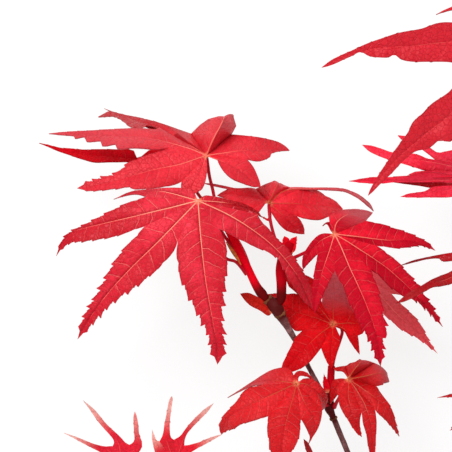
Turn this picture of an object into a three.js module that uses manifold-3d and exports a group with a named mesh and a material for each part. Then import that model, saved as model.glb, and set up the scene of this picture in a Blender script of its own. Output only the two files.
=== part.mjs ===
// Cut branch of a red japanese maple, lying on its lowest leaf tips.
// Millimetres, +Z up. The branch is described as it is seen from straight above:
// every place is a column and row of the 452 px square view plus a height in mm.
import * as THREE from 'three';
import { mergeVertices } from 'three/addons/utils/BufferGeometryUtils.js';
import Module from 'manifold-3d';

const wasm = await Module();
wasm.setup();

// View to millimetres
const VIEW_MIDDLE = 226;
const MM_PER_PX = 0.3;
const VIEW_LEVEL = 40;
const VIEW_DISTANCE = 750;
const SHIFT_X = -28.4;
const SHIFT_Y = 19.7;

// Leaf rule
const LEAF_THICK = 0.78;
const HALF_WIDTH_SHARE = 0.148;
const WIDEST_POWER = 0.75;
const POINTED_POWER = 1.4;
const SINUS_SHARE = 0.28;
const LONG_LOBE = 24;
const SHORT_LOBE = 12;
const TEETH_START = 0.36;
const TEETH_END = 0.93;
const TOOTH_OUT = 0.15;
const TOOTH_IN = 0.06;
const EDGE_RAISE = 0.12;
const SPINE_SHARES = [0.16, 0.34, 0.54, 0.76];
const LOBE_ARCH = 3;
const PETIOLE_RADIUS = 0.55;
const PETIOLE_FLARE = 0.25;

// Limb rule
const GAP = 0.3;
const LIMB_SIDES = 8;
const PETIOLE_SIDES = 5;

// Limbs: column, row, height, radius along the axis
const LIMBS = {
  main_stem: [
    [269, 301, 41, 1.5], [275, 307, 40.6, 1.9], [281, 314, 39.8, 1.2], [289, 326, 37.6, 0.95],
    [300, 345, 34.4, 0.72], [307, 363, 32.8, 0.7], [319, 387, 31.6, 0.8], [329, 403, 31, 1.15],
    [333, 410, 30.7, 1.35], [336, 419, 30, 0.9], [349, 452, 26.5, 0.85], [366, 496, 21, 0.95],
    [375, 517, 18, 1.35], [379, 526, 16.6, 1.5], [383, 536, 15, 1.1], [393, 562, 9, 1.1],
    [402, 586, 0.9, 1.15]
  ],
  left_shoot: [
    [268, 301, 41, 1.0], [262, 294, 41.2, 1.45], [257, 286, 41.4, 1.25], [250, 273, 41.8, 1.3],
    [244, 262, 42, 1.2]
  ],
  right_shoot: [
    [277, 306, 41, 1.0], [281.5, 298, 41.4, 1.35], [283, 285, 41.8, 1.4], [282, 270, 42, 1.8],
    [285, 257, 42.2, 1.9], [290.5, 241, 42.4, 1.7]
  ],
  middle_shoot: [
    [332, 408, 31, 0.9], [330.5, 398, 31.6, 1.2], [330.5, 384, 32, 1.1], [331, 366, 32.4, 0.9]
  ],
  right_side_shoot: [
    [379, 526, 16.6, 0.9], [392, 512, 18, 1.3], [436, 462, 23, 1.15], [478, 410, 25, 1.05],
    [506, 340, 26.5, 0.95], [519, 260, 29, 0.9], [524, 180, 37, 0.8], [522, 120, 48, 0.75]
  ],
  left_side_shoot: [
    [379, 526, 16.6, 0.9], [364, 520, 17, 1.2], [312, 510, 17, 1.05], [258, 508, 17.5, 0.95],
    [204, 506, 19, 0.85], [160, 500, 21, 0.7]
  ]
};

// Leaves: foot and lobe tips as column, row; z is a height; lobes run anticlockwise.
// bow bends a lobe to its left, arch lifts its middle, over pushes the middle outwards so that
// the tip folds back under, roll lifts its left edge, teeth is a share of the full tooth,
// point above 1.4 draws the tip out longer, gap is the bottom of the notch before the next
// lobe, and stalk is the petiole's way to its limb.
const LEAVES = {
  leaf_front: {
    foot: [198, 200.7], z: 58,
    lobes: [
      { tip: [114, 199], z: 49, arch: 3, bow: -4.6, wide: 3.8, roll: 50, gap: [146, 197] },
      { tip: [56, 256], z: 50, arch: 6, bow: -6, wide: 6.3, gap: [144.5, 226.6] },
      { tip: [78, 339], z: 52, arch: 6, bow: -2.4, wide: 6.6, gap: [178, 241] },
      { tip: [218, 364], z: 57, arch: 4, bow: -2, wide: 7.4, gap: [219, 228.4] },
      { tip: [313, 310], z: 44, arch: 5, bow: 4, wide: 4.5, gap: [240, 207] },
      { tip: [270, 221.5], z: 48, arch: 4, bow: 1, wide: 2.4, roll: -50 }
    ],
    stalk: [[203, 212, 50], [213, 238, 45.6], [226, 260, 44], [238, 266, 43], [249, 277, 42]]
  },
  leaf_top: {
    foot: [206.3, 155.5], z: 46,
    lobes: [
      { tip: [260.5, 186.5], z: 49, arch: 3, bow: -1, wide: 3.8, teeth: 0.6, gap: [246.5, 160.5] },
      { tip: [290, 150], z: 36, arch: 8, bow: 3, wide: 7.6, teeth: 0.6, gap: [231, 135.5] },
      { tip: [217, 128], z: 0.1, arch: 20, over: 14, bow: -1.5, wide: 6, teeth: 0.1, gap: [192, 133] },
      { tip: [100, 113], z: 14, arch: 8, bow: -5, wide: 5, gap: [150, 127] },
      { tip: [49, 134.6], z: 32, arch: 6, bow: -3.6, wide: 4.8, gap: [170, 147] },
      { tip: [77.5, 189], z: 47, arch: 5, bow: -2.2, wide: 5.6, gap: [181, 180] },
      { tip: [188, 195], z: 50, arch: 0, wide: 4, teeth: 0.3 }
    ],
    stalk: [[208.5, 160, 44], [213, 182, 43], [216, 206, 42.8], [219, 225, 42.6], [230, 244, 42.4],
      [244, 263, 42]]
  },
  leaf_top_back: {
    foot: [166, 158], z: 28,
    lobes: [
      { tip: [128, 171], z: 24, wide: 2.4, arch: 1 },
      { tip: [176, 172], z: 28, wide: 2.4, arch: 1 },
      { tip: [205, 163], z: 27, wide: 3, arch: 1 },
      { tip: [180, 140], z: 18, wide: 3, arch: 1 },
      { tip: [40, 143.6], z: 22, wide: 3.4, arch: 4, bow: 3.4 }
    ],
    stalk: [[188, 176, 30], [210, 200, 36], [232, 230, 39.4], [243, 250, 40.6], [251, 273, 41.2]]
  },
  leaf_centre: {
    foot: [269.2, 203.1], z: 40,
    lobes: [
      { tip: [262, 219], z: 38, arch: 0, wide: 1.5, teeth: 0.3, gap: [269, 210] },
      { tip: [304, 235], z: 36, arch: 3, bow: -1.5, wide: 4, teeth: 0.4, gap: [296, 216] },
      { tip: [343, 208.5], z: 29, arch: 5, bow: 1.8, wide: 5.8, teeth: 0.5, gap: [298, 190] },
      { tip: [374, 211], z: 20, arch: 5, bow: 9.4, wide: 1.8, roll: 30, gap: [290, 188] },
      { tip: [288, 183], z: 18, arch: 9, wide: 4.5, teeth: 0.2, gap: [262, 190] },
      { tip: [203, 184.5], z: 25, arch: 2, bow: -3, wide: 1.5, teeth: 0.3, roll: 40 },
      { tip: [217, 196], z: 32, arch: 3, bow: -4.5, wide: 3.2, teeth: 0.4 }
    ],
    stalk: [[269, 208, 40], [271, 221, 40.6], [274, 236, 41.2], [280, 258, 42]]
  },
  leaf_right: {
    foot: [334.6, 234], z: 55,
    lobes: [
      { tip: [303.4, 269.5], z: 47, arch: 2, bow: -2, wide: 2.6, teeth: 0.5, gap: [321, 251] },
      { tip: [316.8, 314], z: 52, arch: 4, bow: -1.6, wide: 4.3, gap: [336.3, 267.5] },
      { tip: [381, 366], z: 57, arch: 6, bow: 1.6, wide: 6.6, gap: [371, 269.5] },
      { tip: [443, 326.5], z: 50, arch: 6, bow: 2, wide: 5.2, gap: [377, 245.5] },
      { tip: [435, 250], z: 46, arch: 6, bow: 2, wide: 4.3, gap: [366, 221] },
      { tip: [373, 214], z: 40, arch: 6, bow: 3.8, wide: 4, teeth: 0.2 }
    ],
    stalk: [[329, 238, 52], [318, 246, 47.6], [303, 253.5, 44.6], [287, 256, 42.4]]
  },
  leaf_middle: {
    foot: [333, 324.5], z: 36,
    lobes: [
      { tip: [260, 296], z: 24, arch: 2, bow: 1.6, wide: 5.8, teeth: 0.3, gap: [303, 330.6] },
      { tip: [286, 371], z: 40, arch: 5, bow: -1.5, wide: 5.6, teeth: 0.3, gap: [321, 344.6] },
      { tip: [330, 369], z: 39, arch: 2, bow: 1, wide: 3, teeth: 0.4, gap: [339, 335] },
      { tip: [359.4, 354.5], z: 34, arch: 2, bow: -1.4, wide: 2.1, teeth: 0.4, gap: [357.5, 336] },
      { tip: [386.5, 341], z: 30, arch: 4, bow: 4, wide: 3.6, gap: [354, 313] },
      { tip: [335, 272], z: 26, arch: 3, bow: -1, wide: 4.8, teeth: 0.5, gap: [325, 306] },
      { tip: [297, 281], z: 28, arch: 3, bow: 0, wide: 3.8, teeth: 0.5, gap: [303, 303] }
    ],
    stalk: [[339, 328, 34.6], [343.5, 335, 33.6], [339, 350, 33.2], [331.5, 367, 32.6]]
  },
  leaf_right_back: {
    foot: [354, 268], z: 24,
    lobes: [
      { tip: [350, 322], z: 18, wide: 3.6 },
      { tip: [379, 330], z: 18, wide: 3.8 },
      { tip: [437.5, 353.4], z: 22, wide: 4.8, bow: 4.6, gap: [391, 293.8] },
      { tip: [423, 302], z: 18, wide: 4 },
      { tip: [368, 234], z: 18, wide: 3 }
    ],
    stalk: [[348, 284, 24], [336, 318, 25], [331, 345, 26], [330.5, 366, 27.6], [330.5, 386, 32]]
  },
  leaf_low_left: {
    foot: [296.5, 383.7], z: 46,
    lobes: [
      { tip: [228, 397.6], z: 31, arch: 7, bow: -5.6, wide: 4.4, teeth: 0.3, gap: [262, 385] },
      { tip: [226, 431], z: 43, arch: 10, over: 4, bow: -3, wide: 6.4, teeth: 0.7, gap: [267.8, 416.6] },
      { tip: [283, 470], z: 54, arch: 5, bow: -1.5, wide: 5.6, gap: [301, 418] },
      { tip: [307.6, 443.7], z: 47, arch: 4, bow: 5, wide: 4.2, teeth: 0.3, gap: [314, 397] },
      { tip: [325, 406], z: 38, arch: 5, bow: 4.6, wide: 2.7, teeth: 0.4, gap: [304, 381] },
      { tip: [314, 377], z: 40, arch: 2, bow: 4, wide: 1.5, teeth: 0.2, gap: [293, 376] }
    ],
    stalk: [[300, 387, 42], [312, 396, 36], [322, 402, 33], [331, 408, 31]]
  },
  leaf_low_right: {
    foot: [347.5, 379.3], z: 46,
    lobes: [
      { tip: [330.5, 404], z: 40, arch: 2, bow: -3.6, wide: 2.1, teeth: 0.3, gap: [338, 393] },
      { tip: [362.3, 437], z: 50, arch: 4, bow: -2.4, wide: 3.3, teeth: 0.6, gap: [359.5, 412] },
      { tip: [373, 470], z: 51, arch: 5, bow: 2.2, wide: 4, teeth: 0.7, gap: [375.6, 413] },
      { tip: [399, 436.5], z: 44, arch: 6, bow: 3, wide: 3.8, gap: [376, 386] },
      { tip: [383, 381], z: 28, arch: 8, over: 4, bow: 5, wide: 5, teeth: 0.1, gap: [370, 362] },
      { tip: [359, 366], z: 30, arch: 7, over: 3, bow: 0, wide: 4, teeth: 0.1, gap: [346, 368] },
      { tip: [333.5, 367], z: 40, arch: 1, bow: -2, wide: 1.2, teeth: 0.2 }
    ],
    stalk: [[345, 385, 42], [341, 394, 37], [334, 407, 31.2]]
  },
  leaf_edge_top: {
    foot: [520, 42], z: 62,
    lobes: [
      { tip: [321.6, 67.7], z: 66, arch: 5, bow: -6, wide: 6, teeth: 0.4, point: 2 },
      { tip: [369, 194], z: 64, arch: 6, bow: -0.6, wide: 6, teeth: 0.9, point: 1.7 },
      { tip: [478, 188], z: 60, arch: 5, wide: 5.6 },
      { tip: [556, 146], z: 48, arch: 5, wide: 5.4 },
      { tip: [590, 66], z: 40, arch: 5, wide: 5 },
      { tip: [548, -24], z: 44, arch: 5, wide: 5 },
      { tip: [435.5, 15], z: 56, arch: 3, bow: -12, wide: 2.2, teeth: 0.3 }
    ],
    stalk: [[522, 56, 58], [523, 88, 53], [522, 122, 48]]
  },
  leaf_edge_high: {
    foot: [496, 180], z: 44,
    lobes: [
      { tip: [399, 136], z: 34, arch: 2, wide: 2, bow: 3 },
      { tip: [363, 145], z: 40, arch: 3, bow: -1.2, wide: 2.5 },
      { tip: [349, 181], z: 45, arch: 3, bow: -0.6, wide: 2.4 },
      { tip: [400, 196.6], z: 46, arch: 3, bow: 1.2, wide: 1.9 },
      { tip: [468, 232], z: 44, arch: 3, wide: 3.6 },
      { tip: [540, 214], z: 44, arch: 3, wide: 3.4 }
    ],
    stalk: [[504, 184, 42.4], [515, 189, 39], [524, 196, 35.4]]
  },
  leaf_edge_middle: {
    foot: [490, 252], z: 41,
    lobes: [
      { tip: [401.6, 265], z: 40, arch: 3, bow: 2, wide: 1.9, roll: 60 },
      { tip: [397, 303], z: 44, arch: 4, bow: -1.5, wide: 2 },
      { tip: [470, 330], z: 44, arch: 4, wide: 4.4 },
      { tip: [556, 316], z: 42, arch: 5, wide: 4.6 },
      { tip: [586, 250], z: 0.2, arch: 16, wide: 4.6 }
    ],
    stalk: [[494, 262, 38], [503, 276, 32], [516, 284, 28.4]]
  },
  leaf_edge_low: {
    foot: [496, 398], z: 36,
    lobes: [
      { tip: [438.5, 397.5], z: 36, arch: 2, wide: 2.4 },
      { tip: [449.4, 430.6], z: 38, arch: 2, wide: 2.8 },
      { tip: [500, 456], z: 34, arch: 2, wide: 3.2 },
      { tip: [548, 420], z: 26, arch: 3, wide: 3.4 },
      { tip: [540, 366], z: 22, arch: 3, wide: 3.2 }
    ],
    stalk: [[494, 394, 33], [489, 390, 28.6], [485, 394, 25.4]]
  },
  leaf_low_far_left: {
    foot: [121, 468], z: 26,
    lobes: [
      { tip: [134.6, 412], z: 34, arch: 2, bow: -2, wide: 1, teeth: 0.1, gap: [131, 448] },
      { tip: [84, 402.7], z: 34, arch: 2, bow: -2.4, wide: 1.3, teeth: 0.1, gap: [112, 447] },
      { tip: [65.5, 434], z: 30, arch: 3, bow: -3, wide: 1.1, teeth: 0.1 },
      { tip: [52, 500], z: 12, arch: 4, wide: 3.4 },
      { tip: [96, 548], z: 0.2, arch: 5, wide: 3.6 }
    ],
    stalk: [[128, 478, 24], [142, 491, 22], [160, 500, 21]]
  },
  leaf_low_small: {
    foot: [322, 484], z: 24,
    lobes: [
      { tip: [352, 470], z: 22, arch: 1, wide: 1.7, teeth: 0.4 },
      { tip: [303.8, 439], z: 31, arch: 2, bow: 1.6, wide: 2, teeth: 0.4 },
      { tip: [284, 486], z: 24, arch: 2, wide: 2.4, teeth: 0.4 },
      { tip: [300, 523], z: 22, arch: 2, wide: 2.2, teeth: 0.4 }
    ],
    stalk: [[323, 489, 22.6], [324, 500, 19], [324, 512, 17]]
  },
  leaf_low_near_left: {
    foot: [175, 464], z: 28,
    lobes: [
      { tip: [221.8, 434.8], z: 34, arch: 2, bow: 2.4, wide: 1.2, teeth: 0.1, gap: [184, 447] },
      { tip: [213.7, 403], z: 38, arch: 2, bow: 3, wide: 1.2, teeth: 0.1, gap: [174, 441] },
      { tip: [171.4, 395.3], z: 38, arch: 2, bow: 2.4, wide: 1.2, teeth: 0.1, gap: [161, 442] },
      { tip: [152.5, 430], z: 32, arch: 2, bow: 2, wide: 1.1, teeth: 0.1 }
    ],
    stalk: [[180, 476, 25], [187, 491, 22], [192, 504, 19.6]]
  }
};

// Bracts: single small blades, each 0.3 mm clear of the limb that carries it
const BRACTS = {
  bract_fork_left: { foot: [285, 247], z: 43, tip: [284.4, 236.5], tipZ: 43.6, wide: 0.8 },
  bract_fork_right: { foot: [295, 249], z: 43, tip: [297, 236.5], tipZ: 43.6, wide: 0.9 },
  bract_knuckle: { foot: [274, 312], z: 40.6, tip: [240, 293.5], tipZ: 42, wide: 1.2 },
  bract_middle: { foot: [328.5, 392], z: 32.6, tip: [324, 374], tipZ: 33.6, wide: 0.6 }
};

const LEAF_RED = new THREE.Color(0.72, 0.08, 0.09);
const SHOOT_RED = new THREE.Color(0.62, 0.03, 0.07);
const BARK_BROWN = new THREE.Color(0.3, 0.17, 0.16);

function spot(column, row, height) {
  const scale = MM_PER_PX * (1 - (height - VIEW_LEVEL) / VIEW_DISTANCE);
  const x = (column - VIEW_MIDDLE) * scale + SHIFT_X;
  const y = (VIEW_MIDDLE - row) * scale + SHIFT_Y;
  return new THREE.Vector3(x, y, height);
}

// A closed mesh as a solid for joining and cutting
function toSolid(geometry) {
  const plain = geometry.clone();
  plain.deleteAttribute('normal');
  plain.deleteAttribute('uv');
  const merged = mergeVertices(plain, 1e-4);
  const mesh = new wasm.Mesh({
    numProp: 3,
    vertProperties: new Float32Array(merged.attributes.position.array),
    triVerts: new Uint32Array(merged.index.array)
  });
  return new wasm.Manifold(mesh);
}

function largestPiece(solid) {
  const pieces = solid.decompose();
  pieces.sort((a, b) => b.volume() - a.volume());
  return pieces[0];
}

function toMesh(name, solid, colour, roughness) {
  const data = largestPiece(solid).getMesh();
  const geometry = new THREE.BufferGeometry();
  geometry.setAttribute('position', new THREE.BufferAttribute(new Float32Array(data.vertProperties), 3));
  geometry.setIndex(new THREE.BufferAttribute(new Uint32Array(data.triVerts), 1));
  geometry.computeVertexNormals();
  const material = new THREE.MeshStandardMaterial({ color: colour, roughness, metalness: 0 });
  const mesh = new THREE.Mesh(geometry, material);
  mesh.name = name;
  return mesh;
}

// A cylinder bent along a curve, its radius following the axis
function bentCylinder(points, radii, sides, segments) {
  const curve = new THREE.CatmullRomCurve3(points, false, 'centripetal');
  const frames = curve.computeFrenetFrames(segments, false);
  const geometry = new THREE.CylinderGeometry(1, 1, 1, sides, segments);
  const position = geometry.attributes.position;
  for (let i = 0; i < position.count; i++) {
    const along = position.getY(i) + 0.5;
    const station = Math.round(along * segments);
    const at = curve.getPointAt(along);
    const share = curve.getUtoTmapping(along) * (radii.length - 1);
    const below = Math.min(Math.floor(share), radii.length - 2);
    const radius = radii[below] + (radii[below + 1] - radii[below]) * (share - below);
    at.addScaledVector(frames.normals[station], -position.getX(i) * radius);
    at.addScaledVector(frames.binormals[station], position.getZ(i) * radius);
    position.setXYZ(i, at.x, at.y, at.z);
  }
  return toSolid(geometry);
}

function limbSolid(rows, grow) {
  const points = rows.map((row) => spot(row[0], row[1], row[2]));
  const radii = rows.map((row) => row[3] + grow);
  const ends = [points[0], points[points.length - 1]];
  const inner = [points[1], points[points.length - 2]];
  ends.forEach((end, i) => {
    const outward = end.clone().sub(inner[i]).normalize();
    end.addScaledVector(outward, grow);
  });
  return bentCylinder(points, radii, LIMB_SIDES, Math.round((rows.length - 1) * 1.6));
}

// Midrib of a lobe
function makeRib(foot, lobe) {
  const tip = spot(lobe.tip[0], lobe.tip[1], lobe.z);
  const run = tip.clone().sub(foot);
  const side = new THREE.Vector3(-run.y, run.x, 0).normalize();
  const middle = foot.clone().addScaledVector(run, 0.5).addScaledVector(side, lobe.bow ?? 0);
  const onward = new THREE.Vector3(run.x, run.y, 0).normalize();
  middle.addScaledVector(onward, lobe.over ?? 0);
  middle.z += lobe.arch ?? LOBE_ARCH;
  return { curve: new THREE.QuadraticBezierCurve3(foot, middle, tip), run, length: run.length() };
}

// Upward direction of each lobe's blade, from the lobes beside it
function bladeNormals(ribs) {
  const between = [];
  for (let i = 0; i + 1 < ribs.length; i++) {
    between.push(ribs[i].run.clone().cross(ribs[i + 1].run).normalize());
  }
  return ribs.map((rib, i) => {
    const sum = new THREE.Vector3(0, 0, 0.4);
    if (i > 0) sum.add(between[i - 1]);
    if (i < between.length) sum.add(between[i]);
    return sum.normalize();
  });
}

function halfWidth(lobe, length, s) {
  const point = lobe.point ?? POINTED_POWER;
  const widest = WIDEST_POWER / (WIDEST_POWER + point);
  const top = widest ** WIDEST_POWER * (1 - widest) ** point;
  const wide = lobe.wide ?? HALF_WIDTH_SHARE * length;
  return wide * (s ** WIDEST_POWER) * ((1 - s) ** point) / top;
}

// A point of the lobe's margin; side is +1 on its left and -1 on its right
function marginPoint(lobe, rib, normal, s, side, tooth) {
  const at = rib.curve.getPoint(s);
  const ahead = rib.curve.getTangent(s);
  const left = normal.clone().cross(ahead).normalize();
  const up = ahead.clone().cross(left);
  const roll = THREE.MathUtils.degToRad(lobe.roll ?? 0) * Math.min(1, s / 0.2);
  const across = left.clone().multiplyScalar(Math.cos(roll)).addScaledVector(up, Math.sin(roll));
  const lift = ahead.clone().cross(across);
  const wide = lobe.wide ?? HALF_WIDTH_SHARE * rib.length;
  const stand = tooth * (lobe.teeth ?? 1) * wide * (1 - 0.4 * s);
  const reach = halfWidth(lobe, rib.length, s) + stand;
  at.addScaledVector(across, side * reach);
  at.addScaledVector(lift, EDGE_RAISE * reach);
  return at;
}

// Bottom of the notch between a lobe and the next one
function notchPoint(foot, lobes, ribs, normals, i) {
  const lobe = lobes[i];
  const next = lobes[i + 1];
  if (!lobe.gap) {
    const a = marginPoint(lobe, ribs[i], normals[i], SINUS_SHARE, 1, 0);
    const b = marginPoint(next, ribs[i + 1], normals[i + 1], SINUS_SHARE, -1, 0);
    return a.add(b).multiplyScalar(0.5);
  }
  const reach = spot(lobe.gap[0], lobe.gap[1], foot.z).sub(foot).length();
  const heights = [ribs[i], ribs[i + 1]].map((rib) => {
    const flat = Math.hypot(rib.run.x, rib.run.y);
    return rib.curve.getPoint(Math.min(0.6, reach / flat)).z;
  });
  return spot(lobe.gap[0], lobe.gap[1], (heights[0] + heights[1]) / 2);
}

function notchShare(foot, rib, notch) {
  const share = notch.clone().sub(foot).dot(rib.run) / rib.run.lengthSq();
  return Math.min(0.6, Math.max(0.1, share));
}

// Stations of the toothed margin: share of the length and how far the tooth stands out
function toothStations(start, length) {
  const teeth = 2 + (length > SHORT_LOBE) + (length > LONG_LOBE);
  const first = Math.max(TEETH_START, start + 0.06);
  const step = (TEETH_END - first) / teeth;
  const stations = [];
  if (start < 0.26) stations.push([(start + first) / 2, 0]);
  for (let k = 0; k < teeth; k++) {
    stations.push([first + step * k, -TOOTH_IN]);
    stations.push([first + step * (k + 0.72), TOOTH_OUT]);
  }
  stations.push([TEETH_END, -TOOTH_IN / 2]);
  return stations;
}

// The blade as one sheet: a fan of lobes that share their notch lines
function bladeSheet(leaf) {
  const foot = spot(leaf.foot[0], leaf.foot[1], leaf.z);
  const lobes = leaf.lobes;
  const ribs = lobes.map((lobe) => makeRib(foot, lobe));
  const normals = bladeNormals(ribs);
  const points = [foot];
  const triangles = [];
  const add = (point) => points.push(point) - 1;

  const notches = [];
  for (let i = 0; i + 1 < lobes.length; i++) {
    const at = notchPoint(foot, lobes, ribs, normals, i);
    const half = foot.clone().lerp(at, 0.5);
    notches.push({ at, line: [add(half), add(at)] });
  }

  lobes.forEach((lobe, i) => {
    const rib = ribs[i];
    const tip = add(rib.curve.getPoint(1));
    const spine = [[0, 0]];
    SPINE_SHARES.forEach((s) => spine.push([s, add(rib.curve.getPoint(s))]));
    spine.push([1, tip]);
    [1, -1].forEach((side) => {
      const notch = side > 0 ? notches[i] : notches[i - 1];
      const margin = marginRow(foot, lobe, rib, normals[i], side, notch, add);
      margin.unshift([0, 0]);
      margin.push([1, tip]);
      stitch(spine, margin, side, triangles);
    });
  });
  return { points, triangles, normals };
}

function marginRow(foot, lobe, rib, normal, side, notch, add) {
  const row = [];
  let start = 0;
  const shift = new THREE.Vector3();
  if (notch) {
    start = notchShare(foot, rib, notch.at);
    row.push([start / 2, notch.line[0]]);
    row.push([start, notch.line[1]]);
    shift.copy(notch.at).sub(marginPoint(lobe, rib, normal, start, side, 0));
  } else {
    [0.07, 0.22].forEach((s) => row.push([s, add(marginPoint(lobe, rib, normal, s, side, 0))]));
  }
  toothStations(notch ? start : 0.28, rib.length).forEach(([s, tooth]) => {
    const at = marginPoint(lobe, rib, normal, s, side, tooth);
    const fade = Math.max(0, 1 - (s - start) / 0.35);
    at.addScaledVector(shift, fade * fade);
    row.push([s, add(at)]);
  });
  return row;
}

// Triangles between the midrib and one margin, both sorted by share of the length
function stitch(spine, margin, side, triangles) {
  const push = (a, b, c) => triangles.push(side > 0 ? [a, b, c] : [a, c, b]);
  let a = 1;
  let b = 1;
  push(0, spine[1][1], margin[1][1]);
  const lastA = spine.length - 2;
  const lastB = margin.length - 2;
  while (a < lastA || b < lastB) {
    const stepSpine = b >= lastB || (a < lastA && spine[a + 1][0] <= margin[b + 1][0]);
    if (stepSpine) {
      push(spine[a][1], spine[a + 1][1], margin[b][1]);
      a += 1;
    } else {
      push(spine[a][1], margin[b + 1][1], margin[b][1]);
      b += 1;
    }
  }
  push(spine[a][1], spine[a + 1][1], margin[b][1]);
}

function sheetNormals(sheet) {
  const normals = sheet.points.map(() => new THREE.Vector3());
  sheet.triangles.forEach(([a, b, c]) => {
    const ab = sheet.points[b].clone().sub(sheet.points[a]);
    const ac = sheet.points[c].clone().sub(sheet.points[a]);
    const face = ab.cross(ac);
    [a, b, c].forEach((index) => normals[index].add(face));
  });
  return normals.map((normal) => normal.normalize());
}

// Boundary edges of the sheet, each in the direction of its one triangle
function rimEdges(triangles) {
  const seen = new Map();
  triangles.forEach((triangle) => {
    for (let k = 0; k < 3; k++) {
      const from = triangle[k];
      const to = triangle[(k + 1) % 3];
      seen.set(`${from}_${to}`, [from, to]);
    }
  });
  return [...seen.values()].filter(([from, to]) => !seen.has(`${to}_${from}`));
}

// The sheet thickened to both sides and closed along its rim
function thickSheet(sheet, thick) {
  const normals = sheetNormals(sheet);
  const count = sheet.points.length;
  const places = [];
  [0.5, -0.5].forEach((side) => {
    sheet.points.forEach((point, i) => {
      const at = point.clone().addScaledVector(normals[i], side * thick);
      places.push(at.x, at.y, at.z);
    });
  });
  const index = [];
  sheet.triangles.forEach(([a, b, c]) => {
    index.push(a, b, c);
    index.push(a + count, c + count, b + count);
  });
  rimEdges(sheet.triangles).forEach(([from, to]) => {
    index.push(from, from + count, to + count);
    index.push(from, to + count, to);
  });
  const mesh = new wasm.Mesh({
    numProp: 3,
    vertProperties: new Float32Array(places),
    triVerts: new Uint32Array(index)
  });
  return new wasm.Manifold(mesh);
}

function petioleSolid(leaf) {
  const foot = spot(leaf.foot[0], leaf.foot[1], leaf.z + 0.35);
  const points = [foot, ...leaf.stalk.map((row) => spot(...row))];
  const radii = points.map((point, i) => {
    const share = i / (points.length - 1);
    return PETIOLE_RADIUS + PETIOLE_FLARE * Math.max(0, share - 0.6) / 0.4;
  });
  return bentCylinder(points, radii, PETIOLE_SIDES, (points.length - 1) * 2);
}

function leafSolid(leaf, limbs) {
  const blade = thickSheet(bladeSheet(leaf), LEAF_THICK);
  const petiole = petioleSolid(leaf).subtract(limbs);
  return blade.add(largestPiece(petiole));
}

function bractSolid(bract, limbs) {
  const leaf = {
    foot: bract.foot,
    z: bract.z,
    lobes: [{ tip: bract.tip, z: bract.tipZ, wide: bract.wide, arch: 0.4 }]
  };
  return thickSheet(bladeSheet(leaf), LEAF_THICK / 2).subtract(limbs);
}

const branch = new THREE.Group();
const trunk = limbSolid(LIMBS.main_stem, GAP);
const limbs = wasm.Manifold.union(Object.values(LIMBS).map((rows) => limbSolid(rows, GAP)));

for (const [name, rows] of Object.entries(LIMBS)) {
  const plain = limbSolid(rows, 0);
  if (name === 'main_stem') branch.add(toMesh(name, plain, BARK_BROWN, 0.8));
  else branch.add(toMesh(name, plain.subtract(trunk), SHOOT_RED, 0.55));
}
for (const [name, leaf] of Object.entries(LEAVES)) {
  branch.add(toMesh(name, leafSolid(leaf, limbs), LEAF_RED, 0.5));
}
for (const [name, bract] of Object.entries(BRACTS)) {
  branch.add(toMesh(name, bractSolid(bract, limbs), SHOOT_RED, 0.55));
}

export default branch;
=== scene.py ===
import math
import random

import bmesh
import bpy
import numpy as np
from bpy.props import FloatProperty, FloatVectorProperty, IntProperty, PointerProperty
from mathutils import Matrix, Vector


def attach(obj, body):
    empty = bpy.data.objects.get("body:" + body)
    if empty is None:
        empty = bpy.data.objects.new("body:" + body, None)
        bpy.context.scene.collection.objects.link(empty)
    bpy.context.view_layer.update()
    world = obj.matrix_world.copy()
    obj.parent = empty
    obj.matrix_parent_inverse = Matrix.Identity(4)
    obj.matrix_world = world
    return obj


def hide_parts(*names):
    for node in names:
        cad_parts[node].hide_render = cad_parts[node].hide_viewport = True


# A cut branch of red maple, seen from straight above as it lies on a pale floor.
# The leaves grow by the same rule as the solids, with finer teeth, veins and thinner blades.
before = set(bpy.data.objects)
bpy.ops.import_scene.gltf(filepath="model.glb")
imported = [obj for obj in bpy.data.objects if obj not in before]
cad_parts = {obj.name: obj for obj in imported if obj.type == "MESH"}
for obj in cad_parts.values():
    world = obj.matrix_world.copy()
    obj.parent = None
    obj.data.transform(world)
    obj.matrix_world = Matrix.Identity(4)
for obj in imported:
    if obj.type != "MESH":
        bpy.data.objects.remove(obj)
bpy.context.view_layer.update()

bl_info = {
    "name": "Red maple branch",
    "version": (1, 0, 0),
    "blender": (4, 5, 0),
    "location": "3D View > Sidebar > Branch",
    "description": "Leaves, shoots and stem of a cut maple branch",
    "category": "Mesh",
}

MM = 0.001
CM_PER_M = 100

# The view, in pixels and millimetres: its middle, scale at the level of the fork, and camera
VIEW_MIDDLE = 226
MM_PER_PX = 0.3
VIEW_LEVEL = 40
VIEW_DISTANCE = 750
SHIFT_X = -28.4
SHIFT_Y = 19.7
VIEW_ACROSS = 2 * VIEW_MIDDLE * MM_PER_PX
SENSOR = 36.0

# Leaf rule: a lobe's half width, the powers of its outline, and its notch, the run of its teeth
# and its point, as shares of its length
HALF_WIDTH_SHARE = 0.148
WIDEST_POWER = 0.75
POINTED_POWER = 1.4
SINUS_SHARE = 0.28
NOTCH_SPAN = (0.08, 0.82)
NOTCH_BLEND = 0.35
NOTCH_HEIGHT_END = 0.6
TEETH_START = 0.36
TEETH_END = 0.925
POINT_FROM = 0.91
# Rise of a margin as a share of its reach, arch of a lobe in millimetres, how strongly a blade
# faces up, and the cosine of its turn between two steps below which it counts as folded
EDGE_RAISE = 0.12
LOBE_ARCH = 3
UPWARD_LEAN = 0.4
FOLD_LIMIT = 0.35

# Teeth: length of the first, loss of length to the last, and their variety
FIRST_TOOTH, TOOTH_LOSS, TOOTH_VARIETY = 1.5, 0.85, 0.2
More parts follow.
